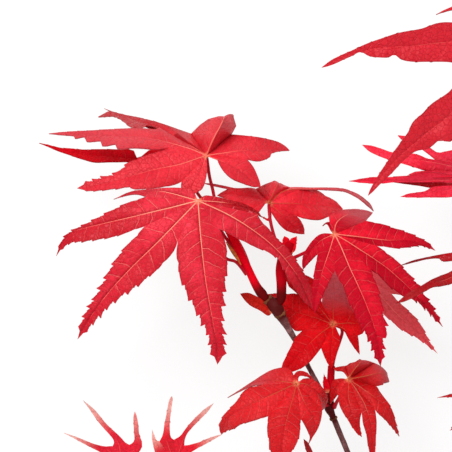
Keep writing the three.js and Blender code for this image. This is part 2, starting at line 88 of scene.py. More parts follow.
# Millimetres from tooth to tooth, toothed share of a lobe, least and most teeth on a side, and
# their loss of height to the tip
TOOTH_EVERY = 4.2
TOOTHED_SHARE = 0.6
TEETH_LEAST, TEETH_MOST = 3, 12
TOOTH_TAPER = 0.42
# One tooth: places along the margin and along the midrib, and height, as shares of its own
TOOTH_PROFILE = ((0.0, 0.0, -0.5), (0.2, 0.16, -0.1), (0.44, 0.33, 0.28), (0.46, 0.46, 0.05),
                 (0.72, 0.64, 0.36), (0.92, 0.8, 0.58), (1.14, 0.93, 1.0))

# Finer blade: stations along a lobe and columns from its midrib to its margin, and the steps
# of its curves
NOTCH_ROWS = 10
NOTCH_POWER = 1.3
NOTCH_FRACTIONS = (np.arange(NOTCH_ROWS + 1) / NOTCH_ROWS) ** NOTCH_POWER
PLAIN_ROWS = 4
PLAIN_LEAST = 0.06
TIP_SHARES = (0.95, 0.975, 0.99, 1.0)
COLUMNS = (0.0, 0.04, 0.1, 0.19, 0.31, 0.45, 0.59, 0.72, 0.84, 0.93, 1.0)
RIB_STEPS = 97
RIB_CURVE_STEPS = 16
MARGIN_CURVE_STEPS = 8
MARGIN_LEAST_STEP = 0.004
# Millimetres that the blade's map spans, and how close the points of two lobes are joined
UV_SPAN = 50.0
MERGE_WITHIN = 0.002 * MM

# Search for the share at which a margin is seen: rounds, the least that a blade seen edge on
# counts as, what a reach to the wrong side and a far one cost, and the least reach
LOCATE_ROUNDS = 5
EDGE_ON_LEAST = 0.04
WRONG_SIDE_COST, REACH_COST = 99.0, 0.02
LEAST_REACH = 0.05

# Side veins: least distance and most to a lobe, their slant, their bend to the tip, and how far
# from the foot the blade's rise between them is full
VEIN_SPACING = 2.8
VEINS_MOST = 12
VEIN_SLANT = 0.2
VEIN_BEND = 0.06
QUILT_FROM = 5
# Slow waves of a blade, as span in millimetres and share of the full height, and how far from
# the foot they are full
WAVES = ((26, 1.0), (17, 0.6), (9, 0.3), (6, 0.18))
WAVES_FROM = 8

# Midribs and stalks: sides and steps of their tubes, a midrib's end as a share of its lobe, its
# height over its width and its loss of size to the tip, and the rest in millimetres
MIDRIB_SIDES, MIDRIB_STEPS, MIDRIB_END = 6, 26, 0.97
MIDRIB_TALL = 1.75
MIDRIB_TAPER = 0.7
MIDRIB_LIFT = 0.02
MIDRIB_FULL_LENGTH = 80
STALK_SIDES, STALK_STEPS = 12, 7
STALK_LIFT = 0.1
PETIOLE_RADIUS = 0.5
PETIOLE_FLARE = 0.3
PETIOLE_HEAD = 0.12
# What is left of a blade's quilting, a midrib's size and its own tone where no veins show, and
# how much of their own tone brown midribs keep
FAINT_QUILT, FAINT_MIDRIB, FAINT_TONE = 0.25, 0.7, 0.2
BROWN_TONE = 0.9

# Limbs: steps between two rows, the stem's rows with a knuckle, and column, row, height and
# radius along each axis
LIMB_STEPS = 12
KNUCKLE_ROWS = (1, 8, 13)
LIMBS = {
    "main_stem": [
        (267.6, 299.4, 41, 1.5), (274.6, 305.6, 40.6, 2.15), (279.6, 313.6, 39.8, 1.75),
        (287, 326, 37.6, 1.08), (298, 345, 34.4, 0.82), (306.5, 363, 32.8, 0.74),
        (318, 385, 31.6, 0.78), (326.2, 402, 31, 1.15), (329.4, 409, 30.7, 1.4),
        (333.4, 418, 30, 0.95), (347.2, 451, 26.5, 0.85), (366, 496, 21, 0.95),
        (375, 517, 18, 1.35), (379, 526, 16.6, 1.5), (383, 536, 15, 1.1), (393, 562, 9, 1.1),
        (402, 586, 0.9, 1.15)],
    "left_shoot": [
        (268, 301, 41, 1.0), (262, 294, 41.2, 1.5), (256.4, 286, 41.4, 1.3),
        (248.6, 270, 41.8, 1.2), (239.2, 251, 42, 1.42), (234, 240, 42, 1.4),
        (228, 229, 42, 1.2), (221.6, 221, 41.8, 0.9)],
    "right_shoot": [
        (277, 306, 41, 1.0), (281, 298, 41.4, 1.4), (281.5, 285, 41.8, 1.5),
        (281.5, 270, 42, 1.75), (284.5, 257, 42.2, 1.95), (290.2, 242, 42.4, 1.9)],
    "middle_shoot": [
        (332, 408, 31, 0.9), (330, 398, 31.6, 1.1), (330.5, 384, 32, 1.15),
        (331.5, 366, 32.4, 1.1)],
    "right_side_shoot": [
        (379, 526, 16.6, 0.9), (394, 512, 18, 1.3), (450, 466, 23, 1.15), (481, 410, 25, 1.05),
        (506, 340, 26.5, 0.95), (519, 260, 29, 0.9), (524, 180, 37, 0.8), (522, 120, 48, 0.75)],
    "left_side_shoot": [
        (379, 526, 16.6, 0.9), (364, 520, 17, 1.2), (312, 510, 17, 1.05), (258, 508, 17.5, 0.95),
        (204, 506, 19, 0.85), (160, 500, 21, 0.7)],
}


def lobe(column, row, height, **shape):
    """A lobe's tip and its shape: bow bends it to its left, arch lifts its middle, wide is its
    half width, teeth is a share of the full tooth, or one for each side, tint is the share of
    the leaf's second tone or, below 0, of wine, and gap is the bottom of the notch before the
    next lobe. Where the view shows more, via has places on its midrib, some with a height, and
    left and right have places on its margins, as seen when looking along it."""
    return {"tip": (column, row), "z": height, **shape}


# Leaves: foot as column, row, height; lobes anticlockwise; stalk is the way to the limb
LEAVES = {
    "leaf_front": {
        "foot": (198, 200.7, 58),
        "lobes": [
            lobe(113.6, 199.4, 49, arch=3, wide=3, teeth=0, gap=(146, 197), tint=0.15,
                 via=((165, 192), (146, 192.6), (130, 194)),
                 right=((193.4, 190.6), (188, 188.6), (178, 187.8), (160, 188.2), (146, 189.6),
                        (135, 190.8), (126, 193.6), (119, 197)),
                 left=((138, 194.6), (126, 195.8))),
            lobe(56.3, 256.3, 50, arch=6, wide=6.3, gap=(144.5, 226.6), teeth=0.55, tint=-0.3,
                 via=((145, 214), (110, 222), (80, 229.5), (66, 238)),
                 right=((130, 202.4), (110, 211.8), (90, 222), (76, 229.2), (65.6, 236.4),
                        (59.8, 246)),
                 left=((135, 229.6), (112, 236.8), (84, 241), (71, 242.6), (61.4, 249))),
            lobe(77.5, 339.4, 52, arch=6, wide=6.6, gap=(178, 241),
                 via=((160, 240), (135, 264), (110, 291), (90, 318)),
                 right=((123.6, 250), (113.4, 265), (100.4, 289), (84.5, 317)),
                 left=((173.6, 251.4), (164.4, 262.4), (156.4, 270), (138, 284), (109.6, 304.6),
                       (92.5, 323))),
            lobe(217.5, 364.4, 57, arch=4, wide=7.4, gap=(219, 228.4),
                 via=((201, 240), (205.6, 280), (212.5, 320), (217, 345)),
                 right=((176.5, 255), (180, 275), (190.5, 298.5), (207, 330), (212, 350)),
                 left=((225, 241), (227.4, 260), (223, 290), (221.5, 316), (223.3, 352))),
            lobe(313, 310, 44, arch=5, wide=5.2, gap=(257, 214.4), teeth=0.6, tint=-0.25,
                 via=((225, 213), (250, 228), (276, 249), (298, 277)),
                 right=((240, 239.8), (256, 247), (268, 252), (279, 260), (290, 281),
                        (303, 299)),
                 left=((261.6, 221.6), (266, 226.2), (270, 230.8), (274.4, 237), (281, 242.4),
                       (291, 253.8), (302.5, 271), (311, 288))),
            lobe(261.6, 217, 50, arch=3, wide=2.6, teeth=0.2, tint=-1,
                 via=((220, 202), (240, 206.4), (252, 211.4)),
                 right=((222, 207), (240, 213), (252, 216)),
                 left=((204, 195.6), (213, 196.2), (226, 199), (240, 202.6), (250, 206.8),
                       (257.6, 211.6)))],
        "stalk": [(203, 212, 50), (213, 238, 45.6), (225, 257.4, 44), (236, 262, 43),
                  (247, 274, 42)],
    },
    "leaf_top": {
        "foot": (206.3, 155.5, 46),
        "lobes": [
            lobe(260.4, 186.6, 49, arch=3, wide=3.8, teeth=0, gap=(247, 159.4),
                 via=((222, 162), (238, 170), (250, 179)),
                 right=((215.4, 158.6), (218.8, 164), (224, 172.4), (233, 179.6), (246, 184.6),
                        (254, 187)),
                 left=((253.4, 167), (256.4, 173), (259.4, 181))),
            lobe(289.4, 150.4, 36, arch=8, wide=7.6, teeth=0, gap=(231.4, 135.8),
                 via=((223, 153.5), (248, 150.5), (272, 148.5)),
                 right=((256.7, 161), (264, 159.6), (270.2, 156.4), (271.4, 152.8), (280, 150.6)),
                 left=((243, 136.4), (256.7, 137), (268, 138.6), (278, 141.2), (285, 145.6))),
            lobe(217, 128, 0.1, wide=5.5, teeth=0, gap=(191, 132.8), tint=0.35,
                 via=((213, 140, 48), (220, 127, 48), (224.2, 117.2, 43), (222, 120, 20)),
                 right=((235, 131.7), (235.6, 125.8), (233.2, 120)),
                 left=((198, 125), (208, 119), (216.7, 115))),
            lobe(103.6, 108, 13, arch=8, wide=1.5, teeth=0, tint=-1,
                 via=((186, 142.6), (165, 131.8), (140, 122), (118, 113.6))),
            lobe(98, 116.7, 14, arch=8, wide=5, teeth=0.3, gap=(159, 128.7), tint=-0.8,
                 via=((186, 143), (165, 132.5), (140, 123), (118, 115)),
                 right=((181.7, 131.4), (165, 126), (150, 121.4), (135, 117.8), (120, 113.2),
                        (108, 111.4)),
                 left=((156, 128.4), (150, 126.2), (146.6, 127.6), (142, 130.6), (134, 129.6),
                       (129, 126.6), (122, 119.8), (113, 115.4), (106, 114))),
            lobe(49, 134.6, 32, arch=6, wide=4.8, teeth=(0.15, 0.15), gap=(170, 147), tint=0.3,
                 via=((183, 146), (156.7, 140), (133, 137.5), (90, 135)),
                 right=((154, 130.4), (147, 129.8), (130, 129.2), (106.7, 129), (90, 130.4),
                        (68, 132.4)),
                 left=((157, 150.2), (145, 149.8), (132, 149.4), (118.4, 150), (116, 144.6),
                       (102.6, 145.8), (101, 140.6), (86.4, 141), (85, 137), (75.6, 138.8),
                       (74, 136.4), (62, 135.8))),
            lobe(77.3, 188, 47, arch=5, wide=5.6, teeth=(0.5, 0.9), gap=(181.6, 181.6),
                 via=((183, 163), (156.7, 169), (133, 176), (106.7, 183)),
                 right=((143, 157.4), (131, 162.5), (116, 173), (98, 178.6), (86, 182.6)),
                 left=((173, 185), (163, 187.2), (152, 188.8), (143, 189.8), (135, 189.8),
                       (128, 188), (116, 188.8), (104, 189.4), (88, 190))),
            lobe(188, 198, 50, arch=0, wide=4, teeth=0.3,
                 via=((202, 168), (196.5, 178), (191, 188)),
                 right=((181, 186), (183, 192)),
                 left=((207, 162), (207.4, 170), (206.4, 177), (204.4, 184), (200.4, 190)))],
        "stalk": [(207.2, 160, 44), (209.4, 176, 43), (213.4, 193, 42.8), (219, 225, 42.6),
                  (230, 244, 42.4), (244, 263, 42)],
    },
    "leaf_top_back": {
        "foot": (166, 158, 28),
        "lobes": [
            lobe(128, 171, 24, wide=2.4, arch=1),
            lobe(176, 172, 28, wide=2.4, arch=1),
            lobe(205, 163, 27, wide=3, arch=1),
            lobe(180, 140, 18, wide=3, arch=1),
            lobe(39, 143, 22, wide=3.4, arch=4, teeth=(0, 0.3),
                 via=((155, 167), (140, 163.4), (128, 158.5), (98, 155.8), (75, 153), (57, 149)),
                 right=((148, 163), (137.6, 158), (134.8, 153.4), (132.4, 149.6), (124, 148.6),
                        (112, 149.2), (98, 149.2), (84, 150), (73, 149), (60, 147.6)),
                 left=((150, 170), (130, 162.4), (98, 162.6), (83, 159.4), (70, 155),
                       (58, 150.6)))],
        "stalk": [(188, 176, 30), (194, 186, 33), (201, 198, 36), (230, 230, 39.4),
                  (243, 250, 40.6), (251, 273, 41.2)],
    },
    "leaf_centre": {
        "foot": (269.2, 203.1, 40),
        "lobes": [
            lobe(258.4, 214.8, 39, arch=0, wide=0.5, teeth=0, gap=(269.8, 209),
                 via=((269.8, 210), (270, 216), (268.2, 219.8), (263.6, 217.6))),
            lobe(304, 234.8, 36, arch=3, wide=4, teeth=0.2, gap=(296, 216), tint=-0.5,
                 via=((277, 210), (287, 219), (297, 228.5)),
                 right=((271.7, 213), (278.8, 223.8), (286, 230), (295, 233.6)),
                 left=((300, 220.5), (303.5, 228))),
            lobe(343, 208.7, 29, arch=5, wide=5.4, teeth=0.3, gap=(298, 190),
                 via=((292.5, 203.6), (310, 205), (328, 207)),
                 right=((302.5, 219), (313, 220.2), (322, 219.6), (329, 216.4)),
                 left=((310, 190), (317.5, 191.5), (325, 196), (332.5, 199.8), (339, 204.4))),
            lobe(373.4, 211.6, 20, arch=6, wide=1.6, teeth=(0, 0.5), gap=(290, 188), tint=0.7,
                 via=((285, 191), (317, 189.2), (340, 189.6), (358, 195), (368, 203.2)),
                 right=((317, 190.4), (330, 190.2), (342, 191), (350, 193.2), (357, 197),
                        (363, 201.4), (368.8, 206.8)),
                 left=((317, 188), (333, 187.8), (345, 189.2), (355, 192.4), (364, 197.8),
                       (370, 204.2))),
            lobe(288, 194, 18, wide=4.8, teeth=0, gap=(256, 188.6), tint=0.9,
                 via=((272, 196, 41), (275.4, 189, 40), (278.2, 184.1, 37.3), (283, 189, 26)),
                 right=((290.6, 186.6), (286.6, 183.6), (283, 182.4)),
                 left=((261.4, 185.4), (267, 183.2), (272, 182.2))),
            lobe(203, 183.6, 25, arch=2, wide=0.6, teeth=0,
                 via=((250, 189.8), (230, 188.2), (215, 186)),
                 right=((240, 188.2), (225, 186.8), (212, 184.8)),
                 left=((240, 190.8), (225, 189.2), (212, 186.8))),
            lobe(217, 196.5, 32, arch=3, wide=3.4, teeth=0.3,
                 via=((250, 197), (232, 195)),
                 right=((250, 188.4), (237, 188.4), (227, 190.5)),
                 left=((264.4, 204.6), (262.2, 210.4), (257.4, 215.4), (249, 211),
                       (240, 206), (228, 200.6)))],
        "stalk": [(269, 208, 40), (270.4, 221, 40.6), (274.2, 236, 41.2), (280.6, 252, 42)],
    },
    "leaf_right": {
        "foot": (334.6, 234, 55),
        "lobes": [
            lobe(303.2, 269.6, 47, arch=2, wide=2.6, teeth=0.3, gap=(318, 253.8),
                 via=((322, 240), (312, 250), (305.6, 261)),
                 right=((322.5, 233.6), (315, 238.2), (308, 247), (303.2, 257)),
                 left=((312.5, 258.8), (307.5, 264))),
            lobe(314.6, 314, 52, arch=4, wide=4.3, gap=(335, 270), teeth=0.5,
                 via=((328.8, 252.5), (323.8, 267), (318.8, 285), (315.4, 301)),
                 right=((316.4, 262), (313.8, 277.5), (312.4, 295)),
                 left=((332, 276), (328, 284), (324.4, 292), (319.6, 303))),
            lobe(380.6, 366, 57, arch=6, wide=6.2, gap=(370.6, 269),
                 via=((342.5, 250), (351, 270), (363, 297), (373, 323), (379.4, 350)),
                 right=((339.4, 280), (345, 291), (351, 305), (360, 324), (369, 338),
                        (376.2, 356)),
                 left=((376, 284), (379.6, 297), (381.8, 306), (383, 317), (385.6, 327),
                       (385.6, 336), (382.6, 341), (383, 351))),
            lobe(442.6, 327, 44, arch=4, wide=5, gap=(377, 245.5),
                 via=((358, 248), (377.5, 261), (391, 271.4), (408, 286.5), (428, 308)),
                 right=((379, 275.6), (388, 284.4), (396, 290.4), (404, 295.6), (415, 300),
                        (426, 309.4), (436, 320.2)),
                 left=((394, 258.6), (405, 270.4), (411, 277), (416.6, 283.6), (420.4, 288),
                       (424, 296), (430.6, 305), (436.4, 315.6))),
            lobe(435, 250.6, 46, arch=6, wide=3.9, gap=(366, 221.5), teeth=0.8,
                 via=((350, 236), (367.5, 238), (387.5, 240), (410, 241.4)),
                 right=((388, 247), (399, 248.4), (410, 247.4), (424, 246.2)),
                 left=((384, 225.2), (398.8, 230.4), (414, 236.4), (428, 243.6))),
            lobe(372.6, 213.8, 40, arch=6, wide=4, teeth=0, tint=0.8, gap=(329.8, 222.4),
                 via=((336, 224, 56), (345, 216.5, 53), (358, 213.8, 47)),
                 right=((345, 228), (352, 224), (362, 220.6), (368.8, 218)),
                 left=((327.4, 219.6), (330.4, 214.6), (337, 211.4), (345, 210), (357, 209.8),
                       (367, 211.6))),
            lobe(322.6, 226.2, 50, arch=0, wide=0.8, teeth=0, tint=-0.6,
                 via=((331.4, 227), (328.8, 224), (325.6, 223.8)))],
        "stalk": [(329, 238, 52), (318, 246, 47.6), (303, 253.5, 44.6), (289, 260, 42.6)],
    },
    "leaf_middle": {
        "foot": (333, 324.5, 36),
        "lobes": [
            lobe(260, 296, 24, arch=2, wide=5.8, teeth=0.2, gap=(303, 330.6),
                 via=((317, 318.6), (305, 315), (291, 310.6), (274, 302)),
                 right=((300, 295.6), (286, 294), (272, 293.6)),
                 left=((295.4, 331), (290, 325), (285, 315), (270, 304))),
            lobe(285, 371, 40, arch=5, wide=5.2, teeth=0.2, gap=(321, 348), tint=-0.25,
                 via=((320, 333.8), (308, 345), (298, 356)),
                 right=((296, 337), (292.5, 343.8), (286.4, 356), (282, 367)),
                 left=((317, 353.6), (309.6, 362.2), (300, 369), (291, 371.6))),
            lobe(331.4, 368.6, 39, arch=2, wide=2.6, teeth=0.3, gap=(335.4, 326.4),
                 via=((332, 336), (331, 350)),
                 right=((323.8, 355.6), (327.6, 363.6)),
                 left=((338, 333), (340.4, 339), (339, 347), (335.4, 357))),
            lobe(359.4, 354.5, 34, arch=2, wide=1.8, teeth=0.2, gap=(357.5, 336),
                 via=((344, 329), (352, 341)),
                 right=((341.6, 328.4), (344.8, 332), (348.4, 339.4), (353.6, 347.4)),
                 left=((358.4, 344),)),
            lobe(384, 335, 30, arch=4, wide=3.6, gap=(354, 313), teeth=0.2,
                 via=((350, 323), (366, 326)),
                 right=((362.6, 333.6), (365.6, 330), (374, 333)),
                 left=((364, 316), (375, 324))),
            lobe(334.4, 269.6, 26, arch=3, wide=3.6, teeth=0.1, gap=(322, 304), tint=1,
                 via=((333.6, 305), (334.2, 288)),
                 right=((348, 303), (344.6, 290), (339.6, 279)),
                 left=((322.4, 297), (323, 289), (328.6, 278))),
            lobe(286, 276, 28, arch=3, wide=3.8, teeth=0.3, gap=(303, 303),
                 via=((318, 306), (304, 290), (294, 281)),
                 right=((319, 292), (314, 280), (310.6, 277.2), (300, 274)),
                 left=((302, 300), (297.6, 293.6), (292, 288.6), (288, 284.4)))],
        "stalk": [(340, 326.8, 34.8), (342.2, 332, 34.2), (339.8, 341, 33.6), (335.6, 353, 33),
                  (331.5, 367, 32.6)],
    },
    "leaf_right_back": {
        "foot": (354, 268, 24),
        "lobes": [
            lobe(350, 322, 18, wide=3.6),
            lobe(379, 330, 18, wide=3.8),
            lobe(437.5, 353.6, 22, wide=4.4, gap=(391, 293.8), teeth=0.6,
                 via=((372, 286), (393, 310), (413, 328), (428, 342)),
                 right=((380, 310), (390, 319.8), (402, 329.6), (415, 336.4), (428, 345.6)),
                 left=((401.4, 304.8), (409.2, 311.6), (417, 319.6), (422.6, 327.6), (427, 336.6),
                       (432.2, 346.2))),
            lobe(423, 300, 18, wide=2),
            lobe(368, 234, 18, wide=3)],
        "stalk": [(348, 284, 24), (336, 318, 25), (331, 345, 26), (330.5, 366, 27.6),
                  (330.5, 386, 32)],
    },
    "leaf_low_left": {
        "foot": (296.5, 383.4, 46),
        "lobes": [
            lobe(227.6, 397.8, 31, arch=7, wide=4.4, teeth=0, gap=(262, 385), tint=0.5,
                 via=((282, 381.4), (266, 381), (252, 384.6), (240, 391)),
                 right=((290, 368.6), (276, 368.8), (262.5, 375.4), (252, 382), (240, 390)),
                 left=((252.5, 386.2), (240, 391.6))),
            lobe(222, 434, 42, arch=9, wide=6.4, teeth=0.5, gap=(267.8, 416.6),
                 via=((277.5, 392.2), (258.8, 401), (240, 410.4), (228, 419)),
                 right=((246, 389.6), (235.4, 403.4), (226, 413.4), (220.2, 424), (220, 430)),
                 left=((258, 419.8), (241, 424.2), (232.6, 429), (225.6, 431))),
            lobe(281, 470, 54, arch=5, wide=5.6, gap=(301, 419), teeth=0.6,
                 via=((292, 402), (286.6, 420), (283, 440), (281.6, 455)),
                 right=((267, 430), (268.6, 441), (270.6, 452)),
                 left=((300.6, 428), (298, 440), (293, 449))),
            lobe(308.6, 443.9, 47, arch=4, wide=4.2, teeth=0.1, gap=(321.6, 409),
                 via=((304.6, 402), (313, 415), (314.8, 427), (312, 437)),
                 right=((303.8, 422.5), (307.6, 430.4), (310.2, 437)),
                 left=((321, 418), (317.5, 428.8), (312.6, 436.6))),
            lobe(325, 406.6, 38, arch=5, wide=2.7, teeth=0.2, gap=(298.6, 381.8),
                 via=((306, 384), (316, 391), (322.4, 399)),
                 right=((312, 398), (319, 406)),
                 left=((300.6, 379.4), (304.4, 377.2), (309.4, 377.2), (316, 380.8),
                       (324.6, 391), (327.4, 399))),
            lobe(315, 381, 41, arch=1, wide=0.8, teeth=0,
                 via=((294.6, 378.6), (298.4, 373.6), (306, 374.6)))],
        "stalk": [(300, 387, 42), (312, 396, 36), (322, 402, 33), (331, 408, 31)],
    },
    "leaf_low_right": {
        "foot": (348.6, 379.2, 46),
        "lobes": [
            lobe(330.5, 404, 40, arch=2, wide=2.1, teeth=0.1, gap=(338.2, 394),
                 via=((340, 383), (334.4, 392)),
                 right=((338, 378.6), (333, 380.6), (330.4, 391)),
                 left=((335, 398),)),
            lobe(362, 437, 50, arch=4, wide=3.3, teeth=0.4, gap=(361.6, 412.6),
                 via=((348.6, 398), (353.6, 416), (359, 430)),
                 right=((338.9, 403.4), (343, 412), (348.6, 420.4), (355.6, 430.6)),
                 left=((360, 422), (361, 431))),
            lobe(373, 470, 51, arch=5, wide=3.4, teeth=0.4, gap=(374.6, 409.6),
                 via=((356, 389), (365, 405), (371, 425), (373, 447)),
                 right=((363, 422), (366.4, 433), (368.8, 448)),
                 left=((376.2, 420), (375.8, 435), (375, 448))),
            lobe(399, 436.6, 44, arch=6, wide=3.8, gap=(376, 386.4), teeth=0.6,
                 via=((362, 388), (376, 398.6), (388, 410), (395, 424)),
                 right=((379, 415), (386, 420.6), (394, 429.6)),
                 left=((381.6, 395), (388.4, 404.4), (393, 414), (396.4, 426))),
            lobe(383, 384, 28, wide=5, teeth=0, gap=(374, 363), tint=0.5,
                 via=((366, 375.8, 47), (379, 373, 45), (387, 376.6, 40)),
                 right=((378.8, 385.8), (383, 385), (385.8, 381.8)),
                 left=((380, 366), (385, 370.6), (387.2, 374))),
            lobe(361, 368, 30, wide=4.6, teeth=0, gap=(345, 366), tint=0.5,
                 via=((353, 371, 47), (358, 365, 46), (362, 360.2, 41)),
                 right=((370.6, 361.2), (366, 359.8)),
                 left=((350, 363.6), (356, 361.6))),
            lobe(333.5, 368.2, 40, arch=1, wide=1.2, teeth=0,
                 via=((345, 371), (339.4, 368.6)), right=((340, 366.6),),
                 left=((347, 376.8), (344.6, 373), (340, 370.8), (336.4, 370.6)))],
        "stalk": [(345, 385, 42), (341, 394, 37), (334, 407, 31.2)],
    },
    "leaf_edge_top": {
        "foot": (520, 42, 62),
        "lobes": [
            lobe(321, 67.8, 66, arch=5, wide=6, teeth=0,
                 via=((452, 42), (410, 46), (375, 48.4), (345, 56.4)),
                 right=((452, 22.8), (420, 29), (400, 32.4), (380, 38.6), (364, 44.8),
                        (352, 50.4), (340, 55.6), (330, 60.8)),
                 left=((452, 62.2), (408, 61.4), (395, 54.8), (386, 57.8), (370, 56.6),
                       (361, 52), (350, 56.8), (338, 62.4), (328, 66.2))),
            lobe(367.6, 196, 64, arch=6, wide=6, teeth=0,
                 via=((452, 112), (420, 138), (398, 158), (380, 178)),
                 right=((452, 88.6), (432.5, 103), (422, 113.6), (412, 122.4), (408.8, 131),
                        (402, 140), (396, 149), (386, 164), (375, 181), (370, 189.6)),
                 left=((452, 140), (446, 140.8), (440, 139.6), (434, 144.2), (429, 148),
                       (416, 151), (403, 161.6), (392, 173.4), (380.6, 184), (373, 191.6))),
            lobe(478, 188, 60, arch=5, wide=5.6),
            lobe(556, 146, 48, arch=5, wide=5.4),
            lobe(590, 66, 40, arch=5, wide=5),
            lobe(548, -24, 44, arch=5, wide=5),
            lobe(435.5, 15, 56, arch=3, bow=-12, wide=2.2, teeth=0.3)],
        "stalk": [(522, 56, 58), (523, 88, 53), (522, 122, 48)],
    },
    "leaf_edge_high": {
        "foot": (496, 180, 44),
        "lobes": [
            lobe(398, 135.4, 34, arch=2, wide=2, teeth=0,
                 via=((450, 161), (430, 152.6), (415, 142)),
                 right=((460, 152), (448, 151.2), (438, 153), (430, 148), (413, 136.4),
                        (405, 136)),
                 left=((445, 168), (433, 158), (425, 151.6), (410, 142), (402, 139.4))),
            lobe(362, 144.6, 41, arch=3, wide=2.5, teeth=(0, 0.1),
                 via=((450, 166), (410, 158.6), (384, 153)),
                 right=((440, 160.6), (428, 158.8), (419, 155.4), (412, 153.6), (394, 152.8),
                        (383, 149.2), (372, 145.6)),
                 left=((430, 171), (405, 164.6), (389, 160), (377, 155.4), (368, 150.6))),
            lobe(394, 160.6, 39, arch=2, wide=1.8, teeth=0.2, tint=-1,
                 via=((450, 172), (425, 168.4)),
                 right=((430, 165), (412, 162)), left=((430, 171.6), (412, 166.6))),
            lobe(408.6, 174.6, 44, arch=4, wide=1.8, teeth=0.4,
                 via=((450, 173.6), (425, 174)),
                 right=((440, 170.6), (418, 171.8)), left=((440, 178), (418, 177.6))),
            lobe(348.8, 181.2, 45, arch=3, wide=2.4, teeth=0.3,
                 via=((450, 180), (415, 181), (385, 180.6)),
                 right=((430, 172), (410, 175.6), (400, 176.4), (388, 177.4), (370, 177.6)),
                 left=((430, 182), (400, 182), (378, 183.6), (362, 182.8))),
            lobe(388, 181.6, 43, arch=2, wide=1.8, teeth=0.2, tint=-1,
                 via=((450, 186), (420, 183.4)),
                 right=((430, 180), (405, 180.4)), left=((440, 189), (415, 185.2))),
            lobe(400, 196.8, 46, arch=3, wide=1.9, teeth=0.4,
                 via=((450, 190), (420, 194.6)),
                 right=((436, 186.5), (424, 191.4), (410, 193.4)),
                 left=((452, 196.8), (430, 197.4), (412, 197.4))),
            lobe(468, 232, 44, arch=3, wide=3.6),
            lobe(540, 214, 44, arch=3, wide=3.4)],
        "stalk": [(504, 184, 42.4), (515, 189, 39), (524, 196, 35.4)],
    },
    "leaf_edge_middle": {
        "foot": (490, 252, 41),
        "lobes": [
            lobe(401.4, 265, 40, arch=3, wide=0.8, teeth=0.6, tint=-0.6,
                 via=((452, 256), (430, 257.4), (415, 261)),
                 right=((452, 253.2), (430, 256.4), (415, 260)),
                 left=((452, 261), (441.6, 261.4), (438.6, 258.2), (425, 259), (412, 262.4))),
            lobe(395.7, 303.4, 56, wide=2, teeth=0.2,
                 via=((452, 277.2, 48), (430, 285, 54.5), (412, 295, 57)),
                 right=((452, 271), (440.3, 276.3), (431.7, 280), (421, 286.2),
                        (411.7, 290.4), (404.3, 296.3)),
                 left=((452, 284), (445, 285.8), (438.3, 287.6), (431.7, 288), (424.3, 292),
                       (415, 296.6), (407, 300))),
            lobe(470, 330, 44, arch=4, wide=4.4),
            lobe(556, 316, 42, arch=5, wide=4.6),
            lobe(586, 250, 0.2, arch=16, wide=4.6)],
        "stalk": [(494, 262, 38), (503, 276, 32), (516, 284, 28.4)],
    },
    "leaf_edge_low": {
        "foot": (496, 398, 36),
        "lobes": [
            lobe(436.6, 397.8, 36, arch=2, wide=1, teeth=0,
                 via=((470, 395.4), (452, 395.6)), right=((470, 390), (452, 393.8)),
                 left=((470, 400), (452, 397.4))),
            lobe(449.4, 430.6, 38, arch=2, wide=2.8),
            lobe(500, 456, 34, arch=2, wide=3.2),
            lobe(548, 420, 26, arch=3, wide=3.4),
            lobe(540, 366, 22, arch=3, wide=3.2)],
        "stalk": [(494, 394, 33), (489, 390, 28.6), (485, 394, 25.4)],
    },
    "leaf_low_far_left": {
        "foot": (121, 468, 26),
        "lobes": [
            lobe(135, 410.6, 34, arch=2, wide=1, teeth=0, gap=(129, 445.4), tint=0.6,
                 via=((136, 446), (136.4, 430)),
                 right=((140.8, 450), (139.8, 437), (138.4, 424), (137, 416)),
                 left=((134.2, 441), (134, 428), (133.6, 417))),
            lobe(83, 401, 34, arch=2, wide=1.3, teeth=0, gap=(112.6, 446), tint=1,
                 via=((118, 441.6), (102, 422.8)),
                 right=((123, 440), (109.6, 426.4), (96, 412)),
                 left=((113.8, 439.4), (105.6, 429.2), (95.6, 418.2))),
            lobe(64, 433.6, 30, arch=3, wide=1.1, teeth=0, tint=1,
                 via=((110, 451), (94, 446.2), (82, 440.8)),
                 right=((105, 445.8), (96, 443.6), (84, 439.6)),
                 left=((99, 450.6), (90, 445.8), (80, 441))),
            lobe(52, 500, 12, arch=4, wide=3.4),
            lobe(96, 548, 0.2, arch=5, wide=3.6)],
        "stalk": [(128, 478, 24), (142, 491, 22), (160, 500, 21)],
    },
    "leaf_low_small": {
        "foot": (322, 484, 24),
        "lobes": [
            lobe(352, 470, 22, arch=1, wide=1.7, teeth=0.4),
            lobe(303.4, 438.6, 31, arch=2, wide=1, teeth=0.4,
                 via=((318, 472), (310.6, 456), (306, 446)),
                 right=((317, 462), (312.4, 451), (308, 442.6)),
                 left=((312, 468), (307.4, 454), (304.6, 446))),
            lobe(284, 486, 24, arch=2, wide=2.4, teeth=0.4),
            lobe(300, 523, 22, arch=2, wide=2.2, teeth=0.4)],
        "stalk": [(323, 489, 22.6), (324, 500, 19), (324, 512, 17)],
    },
    "leaf_low_near_left": {
        "foot": (175, 464, 28),
        "lobes": [
            lobe(222, 434.6, 34, arch=2, wide=1.2, teeth=0, gap=(184, 445.8), tint=1,
                 via=((190, 449), (203, 442.6)),
                 right=((192.6, 451.4), (200, 447.2), (208, 443), (215, 439)),
                 left=((190, 445), (198, 443), (206, 439.8), (214, 436.8))),
            lobe(213.8, 402.8, 38, arch=2, wide=1.2, teeth=0, gap=(174, 439.6), tint=1,
                 via=((183, 440), (188, 430), (200, 417)),
                 right=((184.6, 439), (190.2, 429.6), (198.6, 420.8), (208, 411)),
                 left=((181, 435.4), (187, 427), (196, 417), (206, 407.8))),
            lobe(171.8, 396.6, 38, arch=2, wide=1.2, teeth=0, gap=(160, 440.4), tint=1,
